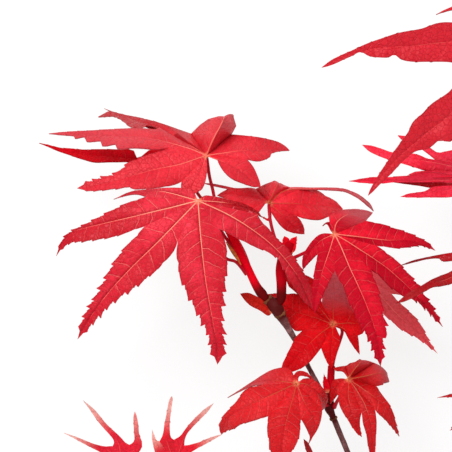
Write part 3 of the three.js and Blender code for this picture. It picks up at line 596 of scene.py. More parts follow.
                 via=((167.4, 442), (167, 428), (169.4, 410)),
                 right=((170.4, 435), (169.8, 422), (171, 411), (172.6, 400)),
                 left=((163.2, 434), (164.6, 424), (166.8, 412), (169.2, 400))),
            lobe(152.3, 429.4, 32, arch=2, wide=1.1, teeth=0, tint=1,
                 via=((160, 449), (154.6, 439)), right=((156.8, 439.4), (154.2, 434.4)),
                 left=((157, 454), (154.4, 447), (152.4, 438)))],
        "stalk": [(180, 476, 25), (187, 491, 22), (192, 504, 19.6)],
    },
}

# Bracts: single small blades by the knuckles, as foot and one lobe
BRACTS = {
    "bract_fork_left": {
        "foot": (286.6, 253, 42.8), "lobes": [
            lobe(284.2, 236, 43.8, wide=1.2, arch=0.3, teeth=0,
                 left=((282.6, 248), (282.6, 240)), right=((291, 248), (289, 239)))]},
    "bract_fork_right": {
        "foot": (291, 254, 43), "lobes": [
            lobe(297, 236.2, 43.8, wide=1.6, arch=0.3, teeth=0,
                 left=((287, 248), (290.4, 239.4)), right=((295.4, 250), (296.6, 242)))]},
    "bract_knuckle": {
        "foot": (273, 311, 40.6), "lobes": [
            lobe(240, 293.6, 42, wide=1.4, arch=0.4, teeth=0.3,
                 left=((268, 315.6), (260, 310.6), (251, 306), (245, 300.6)),
                 right=((264, 300.6), (256, 296), (248, 292.8)))]},
    "bract_middle": {
        "foot": (327.8, 393, 32.6), "lobes": [
            lobe(323.8, 373.6, 33.6, wide=1, arch=0.4, teeth=0)]},
}

# How deep the red of each shoot is, as a share of the shoot colour; partly painted light, since the
# left shoot is brightened for the light that shines through it
SHOOT_RED_AND_LIGHT = {"left_shoot": 1.66, "right_shoot": 0.9, "middle_shoot": 1.0,
               "right_side_shoot": 0.9, "left_side_shoot": 0.9}

# Dry strip on the left shoot, and collars of bud scales as limb row, radius and thickness
DRY_STRIP = ((226, 242, 43.4), (231, 249, 43.4), (236.4, 257, 43.2), (241, 265, 43))
COLLARS = ((0, 1.6, 0.2), (2, 1.55, 0.3), (7, 1.3, 0.2), (9, 1.1, 0.16), (13, 1.6, 0.24))

# Tone of each leaf: upper face, its deeper patches, the underside, and the upper face's shine
TONES = {
    "leaf_front": ((0.86, 0.026, 0.056), (0.56, 0.001, 0.014), (0.50, 0.003, 0.012), 0.18),
    "leaf_top": ((0.82, 0.022, 0.040), (0.62, 0.008, 0.022), (0.50, 0.002, 0.010), 0.24),
    "leaf_top_back": ((0.82, 0.001, 0.012), (0.56, 0.001, 0.006), (0.45, 0.001, 0.008), 0.03),
    "leaf_centre": ((0.98, 0.026, 0.052), (0.70, 0.003, 0.014), (0.50, 0.001, 0.008), 0.20),
    "leaf_right": ((0.82, 0.010, 0.030), (0.50, 0.001, 0.014), (0.48, 0.001, 0.008), 0.04),
    "leaf_middle": ((0.86, 0.004, 0.009), (0.58, 0.001, 0.004), (0.45, 0.001, 0.004), 0.05),
    # Painted light: this leaf is brightened for the light that shines through it from the floor
    # below, under the leaf above it
    "leaf_right_back": ((1.0, 0.11, 0.135), (0.90, 0.05, 0.065), (0.60, 0.010, 0.020), 0.30),
    "leaf_low_left": ((0.76, 0.010, 0.016), (0.56, 0.001, 0.005), (0.50, 0.001, 0.005), 0.20),
    "leaf_low_right": ((0.68, 0.007, 0.010), (0.48, 0.001, 0.004), (0.48, 0.001, 0.005), 0.16),
    "leaf_edge_top": ((0.68, 0.010, 0.026), (0.56, 0.003, 0.014), (0.50, 0.002, 0.010), 0.26),
    "leaf_edge_high": ((1.0, 0.035, 0.09), (0.88, 0.004, 0.03), (0.45, 0.001, 0.006), 0.2),
    "leaf_edge_middle": ((0.46, 0.004, 0.008), (0.34, 0.002, 0.005), (0.34, 0.001, 0.005), 0.14),
    "leaf_edge_low": ((0.60, 0.006, 0.014), (0.46, 0.003, 0.008), (0.40, 0.002, 0.006), 0.20),
    "leaf_low_far_left": ((0.88, 0.020, 0.050), (0.80, 0.008, 0.028), (0.66, 0.006, 0.02), 0.14),
    "leaf_low_small": ((0.70, 0.030, 0.030), (0.56, 0.010, 0.014), (0.45, 0.002, 0.006), 0.20),
    "leaf_low_near_left": ((0.88, 0.016, 0.040), (0.80, 0.006, 0.020), (0.66, 0.006, 0.02), 0.14),
}
# Tone that a lobe's tint turns to, dusty or, on two leaves, pale, and wine where it is below 0
DUSTY = (0.54, 0.085, 0.105)
PALE = (0.84, 0.42, 0.37)
WINE = (0.42, 0.001, 0.006)
PALE_LEAVES = ("leaf_low_far_left", "leaf_low_near_left")
# Share of a lobe's length from which its tint begins
DUSTY_FROM, PALE_FROM = 0.1, 0.45
# Painted shade on the half of each lobe that faces away from the light: how much deeper the right
# half of each lobe is, or the left half where it is below 0
HALF_SHADE = {"leaf_front": -0.5, "leaf_right": 0.75, "leaf_centre": 0.4, "leaf_middle": -0.4}
# Veins: their tones, the leaves with brown midribs, and how far the veins of a leaf show
SIDE_VEIN = (0.95, 0.23, 0.20)
DARK_VEIN = (0.46, 0.085, 0.022)
DARK_VEIN_LEAVES = ("leaf_centre", "leaf_middle", "leaf_low_left", "leaf_low_right")
VEIN_SHARE = {
    "leaf_top": 0.35, "leaf_centre": 0.3, "leaf_right": 0.55, "leaf_middle": 0.35,
    "leaf_low_left": 0.45, "leaf_low_right": 0.4, "leaf_top_back": 0.15, "leaf_edge_top": 0.1,
    "leaf_low_far_left": 0.1, "leaf_low_near_left": 0.1, "leaf_right_back": 0.3,
    "leaf_edge_high": 0.3, "leaf_edge_middle": 0.3}

# Single tones of leaves and bracts
UNDER_SHINE = 0.1
LEAF_FOOT = (0.86, 0.30, 0.15)
# Pale pink of the painted glints of gloss on wine lobes
WINE_GLINT = (0.80, 0.14, 0.18)
STALK_BLUSH = (0.72, 0.06, 0.03)
STALK_FOOT = (0.75, 0.25, 0.08)
KNUCKLE_BRACT = (0.56, 0.012, 0.006)
# Red of the bracts, brightened as painted light where the leaves shade them
BRACT_RED_AND_LIGHT = 1.66
BRACT_SHINE, BRACT_VEINS = 0.06, 0.2

# Single tones of the limbs, and the dark rings at their knots as a reach in centimetres
KNUCKLE = (0.085, 0.003, 0.003)
PALE_BARK = (0.40, 0.21, 0.21)
PALE_SCALE = (0.42, 0.20, 0.08)
DRY_SKIN = (1.0, 0.28, 0.06)
CUT_WOOD = ((0.62, 0.44, 0.26), (0.78, 0.62, 0.42))
STEM_SHINE, SHOOT_SHINE = 0.06, 0.03
KNOT_REACH, KNOT_STRENGTH = 0.36, 0.94
STEM_KNOT_FADE, SHOOT_KNOT_FADE = 0.26, 0.5

# Relief of the limbs: span of its swellings, and its share of the bark's on a shoot
STEM_RELIEF_SPAN, SHOOT_RELIEF_SPAN = 0.0022, 0.003
SHOOT_RELIEF_SHARE = 0.5
SCALE_RELIEF, SCALE_RELIEF_SPAN = 0.00012, 0.0008
COLLAR_SEGMENTS, COLLAR_SIDES = 40, 10
STRIP_SIDES, STRIP_STEPS = 8, 6
CUT_END_REACH = 0.3 * MM

# Material slots of a leaf, and those of the stem and the left shoot beside their bark in slot 0
UPPER_SLOT, UNDER_SLOT, VEIN_SLOT, STALK_SLOT = 0, 1, 2, 3
CUT_SLOT, SCALE_SLOT = 1, 2
STRIP_SLOT = 1
# Edges sharper than this many degrees stay sharp
BLADE_ANGLE, LIMB_ANGLE = 50, 60

# Leaves and shoots in the order in which they are made
UPPER_LEAVES = ("leaf_front", "leaf_top", "leaf_top_back", "leaf_centre", "leaf_right",
                "leaf_middle", "leaf_right_back")
LOWER_LEAVES = ("leaf_low_left", "leaf_low_right", "leaf_low_small", "leaf_low_far_left",
                "leaf_low_near_left")
EDGE_LEAVES = ("leaf_edge_top", "leaf_edge_high", "leaf_edge_middle", "leaf_edge_low")
SHOOTS = ("left_shoot", "right_shoot", "middle_shoot", "right_side_shoot", "left_side_shoot")

# Stage, in metres: the floor just below the part, and lights as place, share of power and size
FLOOR_SIZE, FLOOR_LEVEL = 4.0, -0.0002
LIGHTS = (((-0.30, 0.38, 0.80), 1.0, 0.45), ((0.55, -0.2, 0.7), 0.2, 0.6))
CAMERA_NEAR, CAMERA_FAR = 0.01, 10.0


# Sizes and colours

class LeafSettings(bpy.types.PropertyGroup):
    """Sizes and colours of the leaves"""

    blade: FloatProperty(
        name="Blade thickness", description="Thickness of a leaf blade",
        default=0.00034, min=0.0001, max=0.0008, subtype="DISTANCE", unit="LENGTH")
    tooth: FloatProperty(
        name="Tooth height", description="Tooth height as a share of a lobe's half width",
        default=0.21, min=0.0, max=0.4, subtype="FACTOR")
    quilt: FloatProperty(
        name="Quilting", description="Rise of the blade between its side veins, over its width",
        default=0.03, min=0.0, max=0.15, subtype="FACTOR")
    camber: FloatProperty(
        name="Camber", description="Rise of each half blade between midrib and margin",
        default=0.05, min=0.0, max=0.2, subtype="FACTOR")
    wave: FloatProperty(
        name="Waviness", description="Height of the blade's slow waves",
        default=0.00035, min=0.0, max=0.002, subtype="DISTANCE", unit="LENGTH")
    midrib: FloatProperty(
        name="Midrib radius", description="Radius of a full lobe's midrib at its foot",
        default=0.00024, min=0.0001, max=0.0008, subtype="DISTANCE", unit="LENGTH")
    vein_colour: FloatVectorProperty(
        name="Vein colour", description="Colour of midribs near the foot of a leaf",
        default=(0.94, 0.34, 0.22), min=0.0, max=1.0, size=3, subtype="COLOR")
    stalk_colour: FloatVectorProperty(
        name="Stalk colour", description="Colour of the leaf stalks",
        default=(0.62, 0.004, 0.022), min=0.0, max=1.0, size=3, subtype="COLOR")


class LimbSettings(bpy.types.PropertyGroup):
    """Sizes and colours of the stem and shoots"""

    sides: IntProperty(
        name="Sides", description="Detail of a limb's round section",
        default=6, min=2, max=12)
    relief: FloatProperty(
        name="Bark relief", description="Depth of the bark's furrows",
        default=0.00009, min=0.0, max=0.0004, subtype="DISTANCE", unit="LENGTH")
    bark_colour: FloatVectorProperty(
        name="Bark colour", description="Colour of the old stem",
        default=(0.23, 0.085, 0.085), min=0.0, max=1.0, size=3, subtype="COLOR")
    shoot_colour: FloatVectorProperty(
        name="Shoot colour", description="Colour of this year's shoots",
        default=(0.60, 0.001, 0.010), min=0.0, max=1.0, size=3, subtype="COLOR")
    scale_colour: FloatVectorProperty(
        name="Bud scale colour", description="Colour of the dry scales at the knuckles",
        default=(0.19, 0.055, 0.022), min=0.0, max=1.0, size=3, subtype="COLOR")


class StageSettings(bpy.types.PropertyGroup):
    """Floor and lights"""

    floor_colour: FloatVectorProperty(
        name="Floor colour", description="Colour of the plain floor",
        default=(0.22, 0.22, 0.22), min=0.0, max=1.0, size=3, subtype="COLOR")
    floor_glow: FloatProperty(
        name="Floor glow", description="Light that the floor gives off, as on a light table",
        default=0.80, min=0.0, max=2.0)
    sky: FloatProperty(
        name="Room light", description="Strength of the even light from all round",
        default=0.50, min=0.0, max=5.0)
    soft_box: FloatProperty(
        name="Soft box", description="Power of the large soft light above",
        default=6.4, min=0.0, max=200.0, unit="POWER")


# The leaf rule

def pixel_size(height):
    """Millimetres that one pixel of the view covers at a height."""
    return MM_PER_PX * (1 - (height - VIEW_LEVEL) / VIEW_DISTANCE)


def spot(column, row, height):
    """Place in millimetres of a column and row of the view at a height."""
    scale = pixel_size(height)
    x = (column - VIEW_MIDDLE) * scale + SHIFT_X
    y = (VIEW_MIDDLE - row) * scale + SHIFT_Y
    return np.array([x, y, height], float)


def view_of(point):
    """Column and row of the view at which a place in millimetres is seen."""
    scale = pixel_size(point[2])
    return np.array([VIEW_MIDDLE + (point[0] - SHIFT_X) / scale,
                     VIEW_MIDDLE - (point[1] - SHIFT_Y) / scale])


def unit(vectors):
    """Vectors, one or a row each, at length one."""
    vectors = np.asarray(vectors, float)
    return vectors / np.maximum(np.linalg.norm(vectors, axis=-1, keepdims=True), 1e-12)


class Rib:
    """Midrib of a lobe: a curve from the leaf's foot to the lobe's tip."""

    def __init__(self, foot, shape):
        tip = spot(*shape["tip"], shape["z"])
        self.foot, self.tip = foot, tip
        self.run = tip - foot
        self.length = float(np.linalg.norm(self.run))
        self.wide = shape.get("wide", HALF_WIDTH_SHARE * self.length)
        self.margins = {}
        arch = shape.get("arch", LOBE_ARCH)
        if "via" in shape:
            path = self.seen_path(shape["via"], arch)
        else:
            side = unit([-self.run[1], self.run[0], 0])
            middle = foot + 0.5 * self.run + side * shape.get("bow", 0)
            middle[2] += arch
            s = np.linspace(0, 1, RIB_STEPS)[:, None]
            path = (1 - s) ** 2 * foot + 2 * s * (1 - s) * middle + s ** 2 * tip
            self.shares = s[:, 0]
        self.path = path
        self.heads = unit(np.gradient(path, axis=0))
        self.lefts = None
        seen = np.array([view_of(point) for point in path])
        self.fold = int(np.argmax(np.linalg.norm(seen - seen[0], axis=1)))
        self.lead = path[self.fold] - foot

    def seen_path(self, via, arch):
        """Even steps along a smooth curve through the places seen in the view."""
        flat = np.array([place[:2] for place in via], float)
        first, last = view_of(self.foot), view_of(self.tip)
        gone = np.cumsum(np.linalg.norm(np.diff([first, *flat, last], axis=0), axis=1))
        gone = gone / gone[-1]
        places = [self.foot]
        for place, s in zip(via, gone):
            rise = self.foot[2] + s * self.run[2] + 2 * s * (1 - s) * arch
            places.append(spot(*place[:2], place[2] if len(place) > 2 else rise))
        fine = smooth_path([*places, self.tip], RIB_CURVE_STEPS)
        walked = np.concatenate([[0], np.cumsum(np.linalg.norm(np.diff(fine, axis=0), axis=1))])
        self.length = float(walked[-1])
        self.shares = np.linspace(0, 1, RIB_STEPS)
        steps = self.shares * walked[-1]
        return np.stack([np.interp(steps, walked, fine[:, k]) for k in range(3)], -1)

    def along(self, table, share):
        s = np.asarray(share, float)
        return np.stack([np.interp(s, self.shares, table[:, k]) for k in range(3)], -1)

    def point(self, share):
        return self.along(self.path, share)

    def ahead(self, share):
        return unit(self.along(self.heads, share))


def blade_normals(ribs):
    """Upward direction of each lobe's blade, from the lobes beside it."""
    between = [unit(np.cross(a.lead, b.lead)) for a, b in zip(ribs, ribs[1:])]
    found = []
    for i in range(len(ribs)):
        total = np.array([0, 0, UPWARD_LEAN])
        if i > 0:
            total = total + between[i - 1]
        if i < len(between):
            total = total + between[i]
        found.append(unit(total))
    return found


def half_width(rib, share, side):
    """Half width of a lobe without its teeth, as seen in the view or else by the rule."""
    s = np.clip(np.asarray(share, float), 0, 1)
    seen = rib.margins.get(side)
    if seen is not None:
        return np.interp(s, seen[:, 0], seen[:, 1])
    widest = WIDEST_POWER / (WIDEST_POWER + POINTED_POWER)
    top = widest ** WIDEST_POWER * (1 - widest) ** POINTED_POWER
    body = s ** WIDEST_POWER * (1 - s) ** POINTED_POWER / top
    end = POINT_FROM ** WIDEST_POWER * (1 - POINT_FROM) ** POINTED_POWER / top
    return rib.wide * np.where(s > POINT_FROM, end * (1 - s) / (1 - POINT_FROM), body)


def locate(rib, normal, side, column, row):
    """Share along a lobe, and reach from its midrib, at which a margin is seen at a place."""
    share = rib.shares[:rib.fold + 1]
    centre = rib.point(share)
    across, lift = blade_frame(rib, normal, share)
    out = across * side + lift * EDGE_RAISE
    reach = np.zeros(len(share))
    for _ in range(LOCATE_ROUNDS):
        edge = centre + out * reach[:, None]
        scale = pixel_size(edge[:, 2])
        miss = np.stack([(column - VIEW_MIDDLE) * scale + SHIFT_X - edge[:, 0],
                         (VIEW_MIDDLE - row) * scale + SHIFT_Y - edge[:, 1]], -1)
        spread = np.maximum(np.sum(out[:, :2] ** 2, -1), EDGE_ON_LEAST)
        reach += np.sum(miss * out[:, :2], -1) / spread
    cost = np.where(reach < 0, WRONG_SIDE_COST, REACH_COST * reach)
    error = np.linalg.norm(miss, axis=1) + cost
    best = int(np.argmin(error))
    return float(share[best]), max(LEAST_REACH, float(reach[best]))


def seen_margin(shape, rib, normal, side, notch):
    """Reach of a lobe's margin against the share along it, from the places seen in the view."""
    places = shape.get("left" if side > 0 else "right")
    if not places:
        return None
    if notch is not None:
        places = (tuple(view_of(notch)), *places)
    pairs = [(0.0, 0.0)] if notch is None else []
    for column, row in places:
        share, reach = locate(rib, normal, side, column, row)
        if not pairs or share > pairs[-1][0] + MARGIN_LEAST_STEP:
            pairs.append((share, reach))
    pairs.append((1.0, 0.0))
    curve = smooth_path(pairs, MARGIN_CURVE_STEPS)
    rising = np.concatenate([[True], np.diff(np.maximum.accumulate(curve[:, 0])) > 1e-6])
    return np.maximum(curve[rising], 0)


def blade_frame(rib, normal, share):
    """Directions across and up from the blade along a lobe."""
    s = np.asarray(share, float)
    if rib.lefts is None:
        rib.lefts = np.empty_like(rib.heads)
        for i, head in enumerate(rib.heads):
            flat = np.cross(normal, head)
            if i > 0:
                carried = rib.lefts[i - 1] - head * np.dot(rib.lefts[i - 1], head)
                flat = flat if np.dot(flat, unit(carried)) > FOLD_LIMIT else carried
            rib.lefts[i] = unit(flat)
    across = unit(rib.along(rib.lefts, s))
    return across, np.cross(rib.ahead(s), across)


def margin_points(rib, normal, share, side, stand):
    """Points of a lobe's margin; side is +1 on its left, stand is how far a tooth stands out."""
    s = np.asarray(share, float)
    across, lift = blade_frame(rib, normal, s)
    reach = (half_width(rib, s, side) + stand)[..., None]
    return rib.point(s) + across * side * reach + lift * EDGE_RAISE * reach


def notch_point(foot, shapes, ribs, normals, i):
    """Bottom of the notch between a lobe and the next one."""
    gap = shapes[i].get("gap")
    if not gap:
        share = np.array([SINUS_SHARE])
        a = margin_points(ribs[i], normals[i], share, 1, 0)
        b = margin_points(ribs[i + 1], normals[i + 1], share, -1, 0)
        return (a[0] + b[0]) / 2
    reach = np.linalg.norm(spot(*gap, foot[2]) - foot)
    shares = [min(NOTCH_HEIGHT_END, reach / math.hypot(*rib.run[:2])) for rib in ribs[i:i + 2]]
    heights = [rib.point(share)[2] for rib, share in zip(ribs[i:i + 2], shares)]
    return spot(*gap, sum(heights) / 2)


def margin_stations(start, teeth, seed, shape, rib, side, tooth_share):
    """Shares at the margin, at the midrib, and how far each station stands out, as rows."""
    first = max(TEETH_START, start + PLAIN_LEAST)
    plain = list(start * NOTCH_FRACTIONS)
    plain += [start + (first - start) * k / (PLAIN_ROWS + 1) for k in range(1, PLAIN_ROWS + 1)]
    rows = [(share, share, 0.0) for share in plain]
    sizes = [FIRST_TOOTH - TOOTH_LOSS * k / teeth + TOOTH_VARIETY * seed.uniform(-1, 1)
             for k in range(teeth)]
    edges = np.concatenate([[0], np.cumsum(sizes)]) / sum(sizes)
    edges = first + (TEETH_END - first) * edges
    share = shape.get("teeth", 1)
    if isinstance(share, tuple):
        share = share[0 if side > 0 else 1]
    full = tooth_share * share * rib.wide
    for k in range(teeth):
        step = edges[k + 1] - edges[k]
        height = full * (0.8 + 0.4 * seed.random())
        for phase, base, rise in TOOTH_PROFILE:
            at = edges[k] + step * phase
            stand = rise * height * (1 - TOOTH_TAPER * at) * min(1, 0.5 + k * 0.25)
            rows.append((at, edges[k] + step * base, stand))
    rows += [(share, share, 0.0) for share in TIP_SHARES]
    return np.array(rows).T


class Waves:
    """Slow waves of a blade, the same at the same place for every lobe."""

    def __init__(self, seed, height, normal):
        self.normal = normal
        self.height = height
        self.parts = []
        for span, share in WAVES:
            turn = seed.uniform(0, math.tau)
            self.parts.append((
                math.cos(turn) * math.tau / span, math.sin(turn) * math.tau / span,
                seed.uniform(0, math.tau), share))

    def move(self, points, foot):
        away = points - foot
        fade = np.clip(np.linalg.norm(away, axis=-1) / WAVES_FROM, 0, 1)
        total = sum(
            share * np.sin(points[..., 0] * a + points[..., 1] * b + phase)
            for a, b, phase, share in self.parts)
        return points + self.normal * (total * fade * self.height)[..., None]


class Sheet:
    """A mesh in the making: points in millimetres, faces, UV maps and material numbers."""

    def __init__(self):
        self.points, self.faces, self.finish = [], [], []
        self.blade, self.place, self.rim, self.tone = [], [], [], []
        self.count = 0

    def add(self, points):
        self.points.append(np.asarray(points, float).reshape(-1, 3))
        start = self.count
        self.count += len(self.points[-1])
        return start

    def face(self, corners, blade, place, finish, rim=None, tint=0.0):
        self.faces.append(corners)
        self.blade.extend(blade)
        self.place.extend(place)
        self.rim.extend(rim or place)
        self.tone.extend([(tint, 0.0)] * len(corners))
        self.finish.append(finish)

    def mesh(self, name):
        mesh = bpy.data.meshes.new(name)
        mesh.from_pydata((np.concatenate(self.points) * MM).tolist(), [], self.faces)
        for title, values in (("blade", self.blade), ("place", self.place), ("rim", self.rim),
                              ("tone", self.tone)):
            layer = mesh.uv_layers.new(name=title)
            layer.data.foreach_set("uv", np.array(values, np.float32).ravel())
        mesh.polygons.foreach_set("material_index", np.array(self.finish, np.int32))
        return mesh


def half_lobe(sheet, tint, rib, normal, side, stations, notch, waves, settings, rise):
    """One half of a lobe, from its midrib to its margin, as a grid of rows and columns."""
    margin_share, inner_share, stand = stations
    rows, cols = len(margin_share), len(COLUMNS)
    t = np.array(COLUMNS)[None, :]
    outer = margin_points(rib, normal, margin_share, side, stand)
    if notch is not None:
        past = margin_share - margin_share[NOTCH_ROWS]
        fade = np.clip(1 - past / NOTCH_BLEND, 0, 1) ** 2
        outer = outer + (notch - outer[NOTCH_ROWS]) * fade[:, None]
        outer[:NOTCH_ROWS + 1] = rib.foot + (notch - rib.foot) * NOTCH_FRACTIONS[:, None]
    outer[0], outer[-1] = rib.foot, rib.tip
    middle = rib.point(inner_share)
    _, lift = blade_frame(rib, normal, inner_share)
    width = np.linalg.norm(outer - rib.point(np.clip(margin_share, 0, 1)), axis=1)[:, None]

    share = inner_share[:, None] + (margin_share - inner_share)[:, None] * t
    along = share * rib.length
    aside = width * t
    spacing = max(VEIN_SPACING, rib.length / VEINS_MOST)
    vein = (along - VEIN_SLANT * aside - VEIN_BEND * aside ** 2) / spacing
    vein = vein + (0.5 if side > 0 else 0.0)
    hump = 0.5 - 0.5 * np.cos(math.tau * vein)
    window = np.sin(math.pi * t) ** 0.9
    near_tip = np.clip(1.4 * (1 - share), 0, 1) ** 0.5
    past_foot = np.clip(along / QUILT_FROM, 0, 1)
    quilt = settings.quilt * rise * width * hump * window * near_tip * past_foot
    camber = settings.camber * width * 4 * t * (1 - t)
    points = middle[:, None, :] + (outer - middle)[:, None, :] * t[..., None]
    points = points + lift[:, None, :] * (quilt + camber)[..., None]
    points = waves.move(points, rib.foot)

    first = sheet.add(points)
    on_line = np.arange(rows)[:, None] <= NOTCH_ROWS
    edge = np.where(on_line & (notch is not None), 0.0, 1.0) * t
    blade = np.stack([along / UV_SPAN, 0.5 + side * aside / UV_SPAN], -1)
    place = np.stack([vein, share], -1)
    rim = np.stack([edge, np.broadcast_to(t, edge.shape)], -1)
    for k in range(rows - 1):
        for j in range(cols - 1):
            corners = [(k, j), (k + 1, j), (k + 1, j + 1), (k, j + 1)]
            if k == 0:
                corners = [(0, j), (1, j), (1, j + 1)]
            if k == rows - 2:
                corners = [(k, j), (k + 1, j), (k, j + 1)]
            if side < 0:
                corners = corners[::-1]
            sheet.face(
                [first + a * cols + b for a, b in corners],
                [tuple(blade[a, b]) for a, b in corners],
                [tuple(place[a, b]) for a, b in corners], UPPER_SLOT,
                [tuple(rim[a, b]) for a, b in corners], tint)


def tube(sheet, centres, radii, sides, finish, shares, tall=1.0):
    """A round tapering tube along a row of places, closed at both ends."""
    centres = np.asarray(centres, float)
    ahead = unit(np.gradient(centres, axis=0))
    across = unit(np.cross(ahead, np.array([0.0, 0.0, 1.0])) + np.array([1e-6, 0, 0]))
    for i in range(1, len(across)):
        carried = across[i - 1] - ahead[i] * np.dot(across[i - 1], ahead[i])
        across[i] = unit(carried)
    upward = np.cross(across, ahead)
    turn = np.arange(sides) / sides * math.tau
    ring = (
        across[:, None, :] * np.cos(turn)[None, :, None]
        + upward[:, None, :] * np.sin(turn)[None, :, None] * tall)
    points = centres[:, None, :] + ring * np.asarray(radii, float)[:, None, None]
    first = sheet.add(points)
    ends = sheet.add(np.stack([centres[0], centres[-1]]))
    last = (len(centres) - 1) * sides
    for i in range(len(centres) - 1):
        for j in range(sides):
            k = (j + 1) % sides
            corners = [i * sides + j, i * sides + k, (i + 1) * sides + k, (i + 1) * sides + j]
            place = [(j / sides, shares[i]), ((j + 1) / sides, shares[i]),
                     ((j + 1) / sides, shares[i + 1]), (j / sides, shares[i + 1])]
            sheet.face([first + c for c in corners], place, place, finish)
    for j in range(sides):
        k = (j + 1) % sides
        low = [(0.5, shares[0])] * 3
        high = [(0.5, shares[-1])] * 3
        sheet.face([ends, first + k, first + j], low, low, finish)
        sheet.face([ends + 1, first + last + j, first + last + k], high, high, finish)


def smooth_path(points, steps):
    """A curve through the given rows of numbers, with steps between each pair."""
    rows = np.asarray(points, float)
    padded = np.concatenate([[2 * rows[0] - rows[1]], rows, [2 * rows[-1] - rows[-2]]])
    found = []
    for i in range(1, len(padded) - 2):
        a, b, c, d = padded[i - 1:i + 3]
        for s in np.arange(steps) / steps:
            found.append(0.5 * (
                2 * b + (c - a) * s + (2 * a - 5 * b + 4 * c - d) * s ** 2
                + (3 * b - a - 3 * c + d) * s ** 3))
    found.append(rows[-1])
    return np.array(found)


def grow_leaf(name, leaf, settings, seed):
    """The sheet of a leaf's or bract's blade, and the tubes of its midribs."""
    foot = spot(*leaf["foot"])
    shapes = leaf["lobes"]
    ribs = [Rib(foot, shape) for shape in shapes]
    normals = blade_normals(ribs)
    notches = [notch_point(foot, shapes, ribs, normals, i) for i in range(len(shapes) - 1)]
    waves = Waves(seed, settings.wave / MM, unit(sum(normals)))
    veins = VEIN_SHARE.get(name, 1)
    sheet, cords = Sheet(), Sheet()
    beside = [None, *notches, None]
    for i, (shape, rib) in enumerate(zip(shapes, ribs)):
        share = TOOTHED_SHARE * rib.length / TOOTH_EVERY
        teeth = int(min(TEETH_MOST, max(TEETH_LEAST, round(share))))
        sides = ((1, beside[i + 1]), (-1, beside[i]))
        for side, notch in sides:
            rib.margins[side] = seen_margin(shape, rib, normals[i], side, notch)
        both = []
        for side, notch in sides:
            start = SINUS_SHARE
            if notch is not None:
                seen, _ = locate(rib, normals[i], side, *view_of(notch))
                start = min(NOTCH_SPAN[1], max(NOTCH_SPAN[0], seen))
            both.append(margin_stations(start, teeth, seed, shape, rib, side, settings.tooth))
        shared = (both[0][1] + both[1][1]) / 2
        for (side, notch), (outer, _, stand) in zip(sides, both):
            half_lobe(
                sheet, shape.get("tint", 0.0), rib, normals[i], side, (outer, shared, stand),
                notch, waves, settings, FAINT_QUILT + (1 - FAINT_QUILT) * veins)
        share = np.linspace(0.0, MIDRIB_END, MIDRIB_STEPS)
        _, lift = blade_frame(rib, normals[i], share)
        size = settings.midrib / MM * min(1.0, 0.5 + rib.length / MIDRIB_FULL_LENGTH)
        size = size * (1 - MIDRIB_TAPER * share) * (FAINT_MIDRIB + (1 - FAINT_MIDRIB) * veins)
        centres = waves.move(rib.point(share), foot) + lift * MIDRIB_LIFT
        tube(cords, centres, size, MIDRIB_SIDES, VEIN_SLOT, share, MIDRIB_TALL)
    return sheet, cords


def grow_stalk(leaf):
    """The tube of a leaf's stalk, from just above the foot to its limb."""
    column, row, height = leaf["foot"]
    places = [spot(column, row, height + STALK_LIFT), *(spot(*place) for place in leaf["stalk"])]
    centres = smooth_path(places, STALK_STEPS)
    share = np.linspace(0, 1, len(centres))
    flare = np.clip((share - 0.8) / 0.2, 0, 1) ** 2
    head = np.clip(1 - share / 0.06, 0, 1)
    radii = PETIOLE_RADIUS + PETIOLE_FLARE * flare + PETIOLE_HEAD * head
    cords = Sheet()
    tube(cords, centres, radii, STALK_SIDES, STALK_SLOT, share)
    return cords


# Materials

